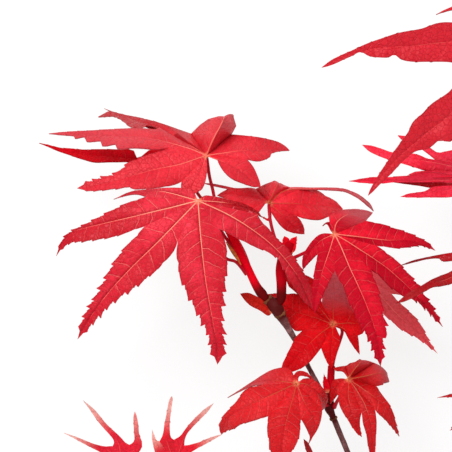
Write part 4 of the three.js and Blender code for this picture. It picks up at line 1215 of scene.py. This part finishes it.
class Nodes:
    """Short calls for the nodes of one material."""

    def __init__(self, name):
        self.material = bpy.data.materials.new(name)
        self.material.use_nodes = True
        self.tree = self.material.node_tree
        self.tree.nodes.clear()
        out = self.tree.nodes.new("ShaderNodeOutputMaterial")
        self.shader = self.tree.nodes.new("ShaderNodeBsdfPrincipled")
        self.tree.links.new(self.shader.outputs[0], out.inputs[0])

    def put(self, value, socket):
        if isinstance(value, bpy.types.NodeSocket):
            self.tree.links.new(value, socket)
        elif isinstance(value, (tuple, list)) and len(value) == 3 and socket.type == "RGBA":
            socket.default_value = (*value, 1.0)
        else:
            socket.default_value = value

    def math(self, operation, a, b=0.0):
        node = self.tree.nodes.new("ShaderNodeMath")
        node.operation = operation
        for value, socket in zip((a, b), node.inputs):
            self.put(value, socket)
        return node.outputs[0]

    def times(self, a, b):
        return self.math("MULTIPLY", a, b)

    def fade(self, value, low, high, out_low=0.0, out_high=1.0):
        node = self.tree.nodes.new("ShaderNodeMapRange")
        node.interpolation_type = "SMOOTHSTEP"
        for socket, v in zip(node.inputs, (value, low, high, out_low, out_high)):
            self.put(v, socket)
        return node.outputs[0]

    def blend(self, amount, a, b, kind="MIX"):
        node = self.tree.nodes.new("ShaderNodeMix")
        node.data_type = "RGBA"
        node.blend_type = kind
        self.put(amount, node.inputs[0])
        self.put(a, node.inputs[6])
        self.put(b, node.inputs[7])
        return node.outputs[2]

    def uv(self, name):
        node = self.tree.nodes.new("ShaderNodeUVMap")
        node.uv_map = name
        return node.outputs[0]

    def place(self):
        return self.tree.nodes.new("ShaderNodeTexCoord").outputs["Object"]

    def split(self, vector):
        node = self.tree.nodes.new("ShaderNodeSeparateXYZ")
        self.put(vector, node.inputs[0])
        return node.outputs

    def stretch(self, vector, scale):
        node = self.tree.nodes.new("ShaderNodeMapping")
        self.put(vector, node.inputs[0])
        node.inputs["Scale"].default_value = scale
        return node.outputs[0]

    def noise(self, vector, scale, detail=3.0, roughness=0.55, distortion=0.0):
        node = self.tree.nodes.new("ShaderNodeTexNoise")
        self.put(vector, node.inputs["Vector"])
        node.inputs["Scale"].default_value = scale
        node.inputs["Detail"].default_value = detail
        node.inputs["Roughness"].default_value = roughness
        node.inputs["Distortion"].default_value = distortion
        return node.outputs[0]

    def cells(self, vector, scale):
        node = self.tree.nodes.new("ShaderNodeTexVoronoi")
        node.feature = "DISTANCE_TO_EDGE"
        self.put(vector, node.inputs["Vector"])
        node.inputs["Scale"].default_value = scale
        return node.outputs["Distance"]

    def bump(self, height, distance):
        node = self.tree.nodes.new("ShaderNodeBump")
        node.inputs["Strength"].default_value = 1.0
        node.inputs["Distance"].default_value = distance
        self.put(height, node.inputs["Height"])
        self.put(node.outputs[0], self.shader.inputs["Normal"])

    def finish(self, colour, roughness, specular):
        self.put(colour, self.shader.inputs["Base Color"])
        self.put(roughness, self.shader.inputs["Roughness"])
        self.shader.inputs["Specular IOR Level"].default_value = specular
        return self.material


def toned(colour, share):
    """A colour at a share of its depth."""
    return tuple(min(1.0, c * share) for c in colour)


def blade_veins(n, uv, phase, share, away):
    """Masks of the side veins and of their furrows, which fade to the margin and the tip."""
    wobble = n.times(n.math("SUBTRACT", n.noise(uv, 9.0, 3.0), 0.5), 0.6)
    near = n.math("PINGPONG", n.math("ADD", phase, wobble), 0.5)
    strength = n.times(n.fade(away, 1.0, 9.0, 1.0, 0.2), n.fade(share, 0.5, 0.95, 1.0, 0.1))
    strength = n.times(strength, n.fade(n.noise(uv, 5.0, 1.0), 0.36, 0.6, 0.2, 1.0))
    side_vein = n.times(n.fade(near, 0.006, 0.038, 1.0, 0.0), strength)
    return side_vein, n.times(n.fade(near, 0.0, 0.16, 1.0, 0.0), strength)


def lobe_tint(n, colour, tint, spread, mottle, place, tip):
    """The dusty, pale or wine tone of single lobes, with painted glints on the wine, and the mask
    of the wine.
    """
    dusty = n.times(n.math("MAXIMUM", tint, 0.0), spread)
    colour = n.blend(n.times(dusty, n.fade(mottle, 0.3, 0.7, 1.0, 0.75)), colour, tip)
    wine = n.times(n.math("MAXIMUM", n.times(tint, -1.0), 0.0), spread)
    colour = n.blend(wine, colour, WINE)
    # Pale specks on the wine: painted glints of its gloss
    wine_glints = n.times(n.fade(n.noise(place, 620.0, 4.0, 0.7), 0.60, 0.66), wine)
    return n.blend(n.times(wine_glints, 0.7), colour, WINE_GLINT), wine


def blade_finish(name, main, deep, tip, shine, veins, tip_from=DUSTY_FROM, half_shade=0):
    """Leaf skin: red that deepens to the margin and the tip, with pale side veins, a fine net,
    a warm spot at the foot, and the dusty, pale or wine tone of single lobes, with painted shade
    on one half, beside the midrib and in the vein furrows, and painted glints on wine lobes."""
    n = Nodes(name)
    uv = n.uv("blade")
    u, v, _ = n.split(uv)
    phase, share, _ = n.split(n.uv("place"))
    edge, _, _ = n.split(n.uv("rim"))
    tint, _, _ = n.split(n.uv("tone"))
    place = n.place()
    along = n.times(u, UV_SPAN)
    aside = n.times(n.math("SUBTRACT", v, 0.5), UV_SPAN)
    side_vein, furrow = blade_veins(n, uv, phase, share, n.math("ABSOLUTE", aside))
    net = n.fade(n.cells(uv, 38.0), 0.0, 0.07, 1.0, 0.0)
    patches = n.fade(n.noise(place, 110.0, 4.0, 0.6), 0.34, 0.66)
    mottle = n.noise(place, 480.0, 3.0, 0.65)
    grain = n.noise(place, 1500.0, 2.0)
    darker = toned(deep, 0.72)

    # Deeper in patches, to the margin, to the tip, on one half as painted shade, and in spots
    colour = n.blend(n.fade(patches, 0.0, 1.0, 0.6, 0.0), main, deep)
    colour = n.blend(n.fade(edge, 0.3, 1.0, 0.0, 0.6), colour, deep)
    colour = n.blend(n.fade(share, 0.3, 1.0, 0.0, 0.55), colour, deep)
    # Painted shade on the half of the lobe that faces away from the light
    half = n.fade(aside, -0.9, 0.9, max(half_shade, 0.0), max(-half_shade, 0.0))
    colour = n.blend(n.times(half, n.fade(share, 0.04, 0.3)), colour, deep)
    colour = n.blend(n.fade(mottle, 0.44, 0.68, 0.0, 0.4), colour, deep)
    colour = n.blend(n.fade(grain, 0.42, 0.7, 0.0, 0.3), colour, darker)

    # Veins with painted shade in their furrows, painted shade beside the midrib, and a dark line at
    # the margin
    colour = n.blend(n.times(furrow, 0.1 + 0.2 * veins), colour, darker)
    colour = n.blend(n.times(net, 0.10 * veins), colour, SIDE_VEIN)
    colour = n.blend(n.times(side_vein, 0.7 * veins), colour, SIDE_VEIN)
    shade = n.times(n.fade(aside, -1.2, -0.25, 0.0, 0.7), n.math("LESS_THAN", aside, 0.0))
    shade = n.times(shade, n.fade(share, 0.02, 0.15, 0.0, veins))
    colour = n.blend(shade, colour, darker)
    colour = n.blend(n.fade(edge, 0.9, 1.0, 0.0, 0.5), colour, toned(deep, 0.5))

    # Tone of single lobes with painted glints on the wine ones, and the warm spot at the foot
    spread = n.fade(share, tip_from, tip_from + 0.45)
    colour, wine = lobe_tint(n, colour, tint, spread, mottle, place, tip)
    reach = n.math("SQRT", n.math("ADD", n.times(along, along), n.times(aside, aside)))
    colour = n.blend(n.fade(reach, 0.3, 1.6, 0.8, 0.0), colour, LEAF_FOOT)

    # Relief and roughness
    height = n.math("SUBTRACT", n.times(grain, 0.4), n.times(net, 0.35))
    height = n.math("SUBTRACT", height, n.times(furrow, 0.2 + 0.4 * veins))
    height = n.math("ADD", height, n.times(mottle, 0.7))
    n.bump(height, 0.00026)
    rough = n.math("SUBTRACT", n.fade(grain, 0.2, 0.8, 0.42, 0.58), n.times(wine, 0.2))
    return n.finish(colour, rough, shine)


def vein_finish(name, vein, main):
    """Midrib: its own tone at the foot, turning to the leaf's red towards the tip."""
    n = Nodes(name)
    _, share, _ = n.split(n.uv("place"))
    patches = n.noise(n.place(), 420.0, 2.0)
    colour = n.blend(n.fade(share, 0.02, 0.75, 0.0, 0.6), vein, main)
    colour = n.blend(n.times(n.fade(patches, 0.4, 0.7), 0.25), colour, main)
    n.bump(patches, 0.00004)
    return n.finish(colour, 0.45, 0.3)


def stalk_finish(name, red):
    """Leaf stalk: smooth red skin with faint streaks along it, warm at the leaf's foot."""
    n = Nodes(name)
    uv = n.uv("place")
    _, share, _ = n.split(uv)
    streaks = n.noise(n.stretch(uv, (26.0, 3.0, 1.0)), 1.0, 3.0)
    blush = n.noise(n.place(), 160.0, 2.0)
    colour = n.blend(n.fade(streaks, 0.35, 0.7), toned(red, 0.72), red)
    colour = n.blend(n.times(n.fade(blush, 0.5, 0.72), 0.3), colour, STALK_BLUSH)
    colour = n.blend(n.fade(share, 0.0, 0.05, 0.85, 0.0), colour, STALK_FOOT)
    n.bump(streaks, 0.00005)
    return n.finish(colour, n.fade(streaks, 0.2, 0.8, 0.34, 0.5), 0.1)


def bark_finish(name, colour, dark, light, shine, knots, fading):
    """Bark with dark furrows along it, light blotches and spots, dark at the limb's knots."""
    n = Nodes(name)
    uv = n.uv("place")
    place = n.place()
    _, along, _ = n.split(uv)
    furrows = n.noise(n.stretch(uv, (9.0, 22.0, 1.0)), 1.0, 4.0, 0.6, 0.4)
    blotches = n.noise(place, 260.0, 3.0)
    spots = n.fade(n.cells(place, 900.0), 0.0, 0.12, 1.0, 0.0)
    skin = n.blend(n.fade(furrows, 0.35, 0.68), dark, colour)
    skin = n.blend(n.times(n.fade(blotches, 0.46, 0.7), 0.65), skin, light)
    skin = n.blend(n.times(spots, 0.12), skin, dark)
    for knot in knots:
        gone = n.math("ABSOLUTE", n.math("SUBTRACT", along, knot))
        ring = n.fade(gone, KNOT_REACH, KNOT_REACH + fading, KNOT_STRENGTH, 0.0)
        skin = n.blend(ring, skin, KNUCKLE)
    n.bump(n.math("ADD", furrows, n.times(blotches, 0.5)), 0.0001)
    return n.finish(skin, n.fade(furrows, 0.2, 0.8, 0.5, 0.72), shine)


def scale_finish(name, colour):
    """Dry skin of a bud scale or shoot, with dark streaks and pale patches."""
    n = Nodes(name)
    place = n.place()
    streaks = n.noise(place, 700.0, 4.0, 0.65)
    patches = n.noise(place, 300.0, 2.0)
    skin = n.blend(n.fade(streaks, 0.38, 0.64), toned(colour, 0.5), colour)
    skin = n.blend(n.fade(patches, 0.5, 0.75, 0.0, 0.4), skin, PALE_SCALE)
    n.bump(streaks, 0.0002)
    return n.finish(skin, 0.66, 0.1)


def cut_wood_finish(name):
    """Freshly cut wood with a fine grain."""
    n = Nodes(name)
    place = n.place()
    grain = n.noise(place, 1500.0, 3.0)
    colour = n.blend(grain, *CUT_WOOD)
    n.bump(grain, 0.00004)
    return n.finish(colour, 0.7, 0.25)


# Shared steps

def clear_choice():
    """Leave edit mode and select nothing, so that an operator acts on its own piece alone."""
    if bpy.context.object and bpy.context.object.mode != "OBJECT":
        bpy.ops.object.mode_set(mode="OBJECT")
    bpy.ops.object.select_all(action="DESELECT")


def choose(piece):
    clear_choice()
    piece.select_set(True)
    bpy.context.view_layer.objects.active = piece


def add_materials(piece, materials):
    for material in materials:
        piece.data.materials.append(material)


def place_mesh(name, mesh, materials):
    piece = bpy.data.objects.new(name, mesh)
    bpy.context.scene.collection.objects.link(piece)
    add_materials(piece, materials)
    return piece


def merge_close(mesh):
    """Join the points of neighbouring lobes along their shared lines."""
    work = bmesh.new()
    work.from_mesh(mesh)
    bmesh.ops.remove_doubles(work, verts=work.verts, dist=MERGE_WITHIN)
    work.to_mesh(mesh)
    work.free()


def thicken(piece, thickness):
    """Turn a sheet into a thin closed blade with its own material below."""
    choose(piece)
    modifier = piece.modifiers.new("blade", "SOLIDIFY")
    modifier.thickness = thickness
    modifier.offset = 0.0
    modifier.use_rim = True
    modifier.material_offset = UNDER_SLOT
    modifier.material_offset_rim = UPPER_SLOT
    bpy.ops.object.modifier_apply(modifier=modifier.name)


def join_pieces(name, parts):
    clear_choice()
    for part in parts:
        part.select_set(True)
    bpy.context.view_layer.objects.active = parts[0]
    bpy.ops.object.join()
    piece = bpy.context.object
    piece.name = name
    piece.data.name = name
    return piece


def settle(piece, node):
    """Hand a finished piece to the frame, in place of its solid."""
    if not piece.data.polygons:
        raise RuntimeError(f"{piece.name} has no faces")
    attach(piece, "root")
    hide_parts(node)


def smooth_shade(piece, degrees):
    choose(piece)
    bpy.ops.object.shade_smooth_by_angle(angle=math.radians(degrees))


def leaf_materials(name, settings):
    """Upper and under skin, midribs and stalk of one leaf, in the order of its slots."""
    main, deep, under, shine = TONES[name]
    tip, tip_from = (PALE, PALE_FROM) if name in PALE_LEAVES else (DUSTY, DUSTY_FROM)
    veins = VEIN_SHARE.get(name, 1)
    if name in DARK_VEIN_LEAVES:
        vein, hold = DARK_VEIN, BROWN_TONE
    else:
        vein, hold = tuple(settings.vein_colour), FAINT_TONE + (1 - FAINT_TONE) * veins
    midrib = tuple(b + (a - b) * hold for a, b in zip(vein, main))
    return [
        blade_finish(f"{name}_upper", main, deep, tip, shine, veins, tip_from,
                     HALF_SHADE.get(name, 0)),
        blade_finish(f"{name}_under", under, toned(under, 0.8), tip, UNDER_SHINE, 0.5 * veins,
                     tip_from),
        vein_finish(f"{name}_veins", midrib, main),
        stalk_finish(f"{name}_stalk", tuple(settings.stalk_colour)),
    ]


def make_blade(name, sheet, materials, thickness):
    """The closed blade of a leaf or bract."""
    blade = place_mesh(name, sheet.mesh(name), materials)
    merge_close(blade.data)
    thicken(blade, thickness)
    return blade


def make_leaf(name, settings):
    """Blade, midribs and stalk of one leaf, joined into one piece."""
    leaf = LEAVES[name]
    materials = leaf_materials(name, settings)
    sheet, ribs = grow_leaf(name, leaf, settings, random.Random(f"maple {name}"))
    parts = [make_blade(name, sheet, materials, settings.blade)]
    for cords in (ribs, grow_stalk(leaf)):
        parts.append(place_mesh(f"{name}_cords", cords.mesh(f"{name}_cords"), materials))
    piece = join_pieces(name, parts)
    smooth_shade(piece, BLADE_ANGLE)
    settle(piece, name)


def make_leaves(names, settings):
    for name in names:
        make_leaf(name, settings)


# Operators

class BRANCH_OT_upper_leaves(bpy.types.Operator):
    """Make the seven leaves round the upper knuckle"""

    bl_idname = "branch.upper_leaves"
    bl_label = "Upper leaves"

    def execute(self, context):
        make_leaves(UPPER_LEAVES, context.scene.branch_leaves)
        return {"FINISHED"}


class BRANCH_OT_lower_leaves(bpy.types.Operator):
    """Make the five leaves near the lower knuckle and on the left side shoot"""

    bl_idname = "branch.lower_leaves"
    bl_label = "Lower leaves"

    def execute(self, context):
        make_leaves(LOWER_LEAVES, context.scene.branch_leaves)
        return {"FINISHED"}


class BRANCH_OT_edge_leaves(bpy.types.Operator):
    """Make the four leaves of the right side shoot"""

    bl_idname = "branch.edge_leaves"
    bl_label = "Right side leaves"

    def execute(self, context):
        make_leaves(EDGE_LEAVES, context.scene.branch_leaves)
        return {"FINISHED"}


def limb_curve(name, rows, sides):
    """A limb as a round tapering curve through its places, made into a mesh."""
    path = smooth_path([(*spot(*row[:3]), row[3]) for row in rows], LIMB_STEPS)
    clear_choice()
    bpy.ops.curve.primitive_nurbs_path_add(radius=0.01)
    piece = bpy.context.object
    piece.name = name
    curve = piece.data
    curve.splines.clear()
    spline = curve.splines.new("POLY")
    spline.points.add(len(path) - 1)
    for point, (x, y, z, radius) in zip(spline.points, path):
        point.co = (x * MM, y * MM, z * MM, 1.0)
        point.radius = radius
    curve.dimensions = "3D"
    curve.bevel_depth = MM
    curve.bevel_resolution = sides
    curve.use_fill_caps = True
    curve.twist_mode = "MINIMUM"
    bpy.ops.object.convert(target="MESH")
    return bpy.context.object, path


def write_limb_place(piece, path):
    """UV map with the way round a limb and the way along it, in centimetres."""
    mesh = piece.data
    centres = path[:, :3] * MM
    steps = np.linalg.norm(np.diff(centres, axis=0), axis=1)
    along = np.concatenate([[0], np.cumsum(steps)]) * CM_PER_M
    ahead = unit(np.gradient(centres, axis=0))
    side = unit(np.cross(ahead, [0.0, 0.0, 1.0]) + np.array([1e-6, 0, 0]))
    up = np.cross(side, ahead)
    layer = mesh.uv_layers.new(name="place")
    for face in mesh.polygons:
        turns = []
        for loop in face.loop_indices:
            at = np.array(mesh.vertices[mesh.loops[loop].vertex_index].co)
            i = int(np.argmin(np.linalg.norm(centres - at, axis=1)))
            away = at - centres[i]
            turn = math.atan2(float(np.dot(away, up[i])), float(np.dot(away, side[i]))) / math.tau
            if turns and turn - turns[0] > 0.5:
                turn -= 1
            if turns and turns[0] - turn > 0.5:
                turn += 1
            turns.append(turn)
            layer.data[loop].uv = (turn, along[i])
    return along


def make_collar(path, index, radius, thickness, materials):
    """Ring of dry bud scales round a limb, with a ragged edge."""
    clear_choice()
    bpy.ops.mesh.primitive_torus_add(
        major_segments=COLLAR_SEGMENTS, minor_segments=COLLAR_SIDES, major_radius=radius * MM,
        minor_radius=thickness * MM)
    ring = bpy.context.object
    ring.name = f"collar_{index}"
    after = path[min(index + 2, len(path) - 1), :3]
    ahead = Vector(after - path[max(index - 2, 0), :3])
    for vertex in ring.data.vertices:
        turn = math.atan2(vertex.co.y, vertex.co.x)
        vertex.co.z *= 2.0 + 0.8 * math.sin(3 * turn) + 0.4 * math.sin(8 * turn + 1)
    turned = ahead.to_track_quat("Z", "Y").to_matrix().to_4x4()
    ring.data.transform(Matrix.Translation(path[index, :3] * MM) @ turned)
    add_relief(ring, SCALE_RELIEF, SCALE_RELIEF_SPAN)
    add_materials(ring, materials)
    for face in ring.data.polygons:
        face.material_index = SCALE_SLOT
    return ring


def add_relief(piece, depth, size):
    """Broad and small swellings, as applied displacement."""
    choose(piece)
    for index, (span, share) in enumerate(((size, 1.0), (size / 3, 0.5))):
        texture = bpy.data.textures.new(f"{piece.name}_{index}", "CLOUDS")
        texture.noise_scale = span
        modifier = piece.modifiers.new("relief", "DISPLACE")
        modifier.texture = texture
        modifier.texture_coords = "LOCAL"
        modifier.strength = depth * share * 2
        modifier.mid_level = 0.5
        bpy.ops.object.modifier_apply(modifier=modifier.name)


def add_dry_strip(name, shoot):
    """Join the strip of dry skin that lies on the left shoot to it."""
    shoot.data.materials.append(scale_finish("dry_strip", DRY_SKIN))
    strip = Sheet()
    centres = smooth_path([spot(*row) for row in DRY_STRIP], STRIP_STEPS)
    share = np.linspace(0, 1, len(centres))
    radii = 0.12 + 0.42 * np.sin(math.pi * share)
    tube(strip, centres, radii, STRIP_SIDES, STRIP_SLOT, share, 0.6)
    skin = place_mesh("dry_strip", strip.mesh("dry_strip"), shoot.data.materials)
    return join_pieces(name, [shoot, skin])


class BRANCH_OT_stem(bpy.types.Operator):
    """Make the old stem with its bark, knuckles and cut end"""

    bl_idname = "branch.stem"
    bl_label = "Stem"

    def execute(self, context):
        settings = context.scene.branch_limbs
        piece, path = limb_curve("main_stem", LIMBS["main_stem"], settings.sides)
        along = write_limb_place(piece, path)
        add_relief(piece, settings.relief, STEM_RELIEF_SPAN)
        bark = tuple(settings.bark_colour)
        knots = [float(along[row * LIMB_STEPS]) for row in KNUCKLE_ROWS]
        add_materials(piece, (
            bark_finish("stem_bark", bark, toned(bark, 0.42), PALE_BARK, STEM_SHINE, knots,
                        STEM_KNOT_FADE),
            cut_wood_finish("cut_end"),
            scale_finish("bud_scales", tuple(settings.scale_colour))))
        end = path[-1, :3] * MM
        for face in piece.data.polygons:
            if np.linalg.norm(np.array(face.center) - end) < CUT_END_REACH:
                face.material_index = CUT_SLOT
        materials = piece.data.materials
        collars = [make_collar(path, row * LIMB_STEPS, radius, thickness, materials)
                   for row, radius, thickness in COLLARS]
        piece = join_pieces("main_stem", [piece, *collars])
        smooth_shade(piece, LIMB_ANGLE)
        settle(piece, "main_stem")
        return {"FINISHED"}


class BRANCH_OT_shoots(bpy.types.Operator):
    """Make the red shoots that carry the leaves"""

    bl_idname = "branch.shoots"
    bl_label = "Shoots"

    def execute(self, context):
        settings = context.scene.branch_limbs
        red = tuple(settings.shoot_colour)
        for name in SHOOTS:
            piece, path = limb_curve(name, LIMBS[name], settings.sides)
            along = write_limb_place(piece, path)
            add_relief(piece, settings.relief * SHOOT_RELIEF_SHARE, SHOOT_RELIEF_SPAN)
            # Shoot red, brightened on the left shoot as painted light shining through it
            tone = toned(red, SHOOT_RED_AND_LIGHT[name])
            add_materials(piece, [bark_finish(
                f"{name}_skin", tone, toned(tone, 0.8), toned(tone, 0.9), SHOOT_SHINE,
                [float(along[0])], SHOOT_KNOT_FADE)])
            if name == "left_shoot":
                piece = add_dry_strip(name, piece)
            smooth_shade(piece, LIMB_ANGLE)
            settle(piece, name)
        return {"FINISHED"}


class BRANCH_OT_bracts(bpy.types.Operator):
    """Make the small bracts by the knuckles"""

    bl_idname = "branch.bracts"
    bl_label = "Bracts"

    def execute(self, context):
        leaves = context.scene.branch_leaves
        red = tuple(context.scene.branch_limbs.shoot_colour)
        for name, bract in BRACTS.items():
            sheet, _ = grow_leaf(name, bract, leaves, random.Random(f"maple {name}"))
            # Bract red, brightened as painted light against the shade of the leaves
            tone = KNUCKLE_BRACT if name == "bract_knuckle" else toned(red, BRACT_RED_AND_LIGHT)
            deep = toned(tone, 0.8)
            materials = [blade_finish(f"{name}_{face}", tone, deep, deep, BRACT_SHINE, BRACT_VEINS)
                         for face in ("upper", "under")]
            blade = make_blade(name, sheet, materials, leaves.blade)
            smooth_shade(blade, BLADE_ANGLE)
            settle(blade, name)
        return {"FINISHED"}


class BRANCH_OT_stage(bpy.types.Operator):
    """Make the pale floor, the soft lights and the camera above"""

    bl_idname = "branch.stage"
    bl_label = "Stage"

    def execute(self, context):
        settings = context.scene.branch_stage
        scene = context.scene
        clear_choice()
        bpy.ops.mesh.primitive_plane_add(size=FLOOR_SIZE, location=(0, 0, FLOOR_LEVEL))
        floor = context.object
        floor.name = "floor"
        n = Nodes("pale_floor")
        shade = n.noise(n.place(), 3.0, 2.0)
        glow = n.blend(shade, (0.98, 0.98, 0.98), (1.0, 1.0, 1.0))
        n.put(glow, n.shader.inputs["Emission Color"])
        n.shader.inputs["Emission Strength"].default_value = settings.floor_glow
        colour = n.blend(1.0, glow, tuple(settings.floor_colour), "MULTIPLY")
        floor.data.materials.append(n.finish(colour, 0.9, 0.0))

        world = bpy.data.worlds.new("room")
        scene.world = world
        world.use_nodes = True
        background = world.node_tree.nodes["Background"]
        background.inputs[0].default_value = (1, 1, 1, 1)
        background.inputs[1].default_value = settings.sky

        for place, power, size in LIGHTS:
            clear_choice()
            bpy.ops.object.light_add(type="AREA", location=place)
            light = context.object
            light.data.energy = settings.soft_box * power
            light.data.size = size
            aim = -light.location.normalized()
            light.rotation_mode = "QUATERNION"
            light.rotation_quaternion = aim.to_track_quat("-Z", "Y")

        clear_choice()
        height = (VIEW_LEVEL + VIEW_DISTANCE) * MM
        bpy.ops.object.camera_add(location=(SHIFT_X * MM, SHIFT_Y * MM, height), rotation=(0, 0, 0))
        camera = context.object
        camera.name = "camera_above"
        camera.data.sensor_width = SENSOR
        camera.data.lens = SENSOR * VIEW_DISTANCE / VIEW_ACROSS
        camera.data.clip_start = CAMERA_NEAR
        camera.data.clip_end = CAMERA_FAR
        scene.camera = camera
        scene.view_settings.view_transform = "Standard"
        return {"FINISHED"}


class BRANCH_PT_panel(bpy.types.Panel):
    """Buttons that make the branch, in the sidebar of the 3D view"""

    bl_idname = "BRANCH_PT_panel"
    bl_label = "Maple branch"
    bl_space_type = "VIEW_3D"
    bl_region_type = "UI"
    bl_category = "Branch"

    def draw(self, context):
        for title, settings in (("Leaves", context.scene.branch_leaves),
                                ("Stem and shoots", context.scene.branch_limbs),
                                ("Stage", context.scene.branch_stage)):
            box = self.layout.box()
            box.label(text=title)
            for key in settings.bl_rna.properties.keys():
                if key not in ("rna_type", "name"):
                    box.prop(settings, key)
        for operator in OPERATORS:
            self.layout.operator(operator.bl_idname)


OPERATORS = (
    BRANCH_OT_stem, BRANCH_OT_shoots, BRANCH_OT_bracts, BRANCH_OT_upper_leaves,
    BRANCH_OT_lower_leaves, BRANCH_OT_edge_leaves, BRANCH_OT_stage)
CLASSES = (LeafSettings, LimbSettings, StageSettings, *OPERATORS, BRANCH_PT_panel)


def register():
    for cls in CLASSES:
        bpy.utils.register_class(cls)
    bpy.types.Scene.branch_leaves = PointerProperty(type=LeafSettings)
    bpy.types.Scene.branch_limbs = PointerProperty(type=LimbSettings)
    bpy.types.Scene.branch_stage = PointerProperty(type=StageSettings)


def unregister():
    del bpy.types.Scene.branch_leaves
    del bpy.types.Scene.branch_limbs
    del bpy.types.Scene.branch_stage
    for cls in reversed(CLASSES):
        bpy.utils.unregister_class(cls)


def main():
    register()
    bpy.ops.branch.stem()
    bpy.ops.branch.shoots()
    bpy.ops.branch.bracts()
    bpy.ops.branch.upper_leaves()
    bpy.ops.branch.lower_leaves()
    bpy.ops.branch.edge_leaves()
    bpy.ops.branch.stage()
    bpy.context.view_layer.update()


if __name__ == "__main__":
    main()
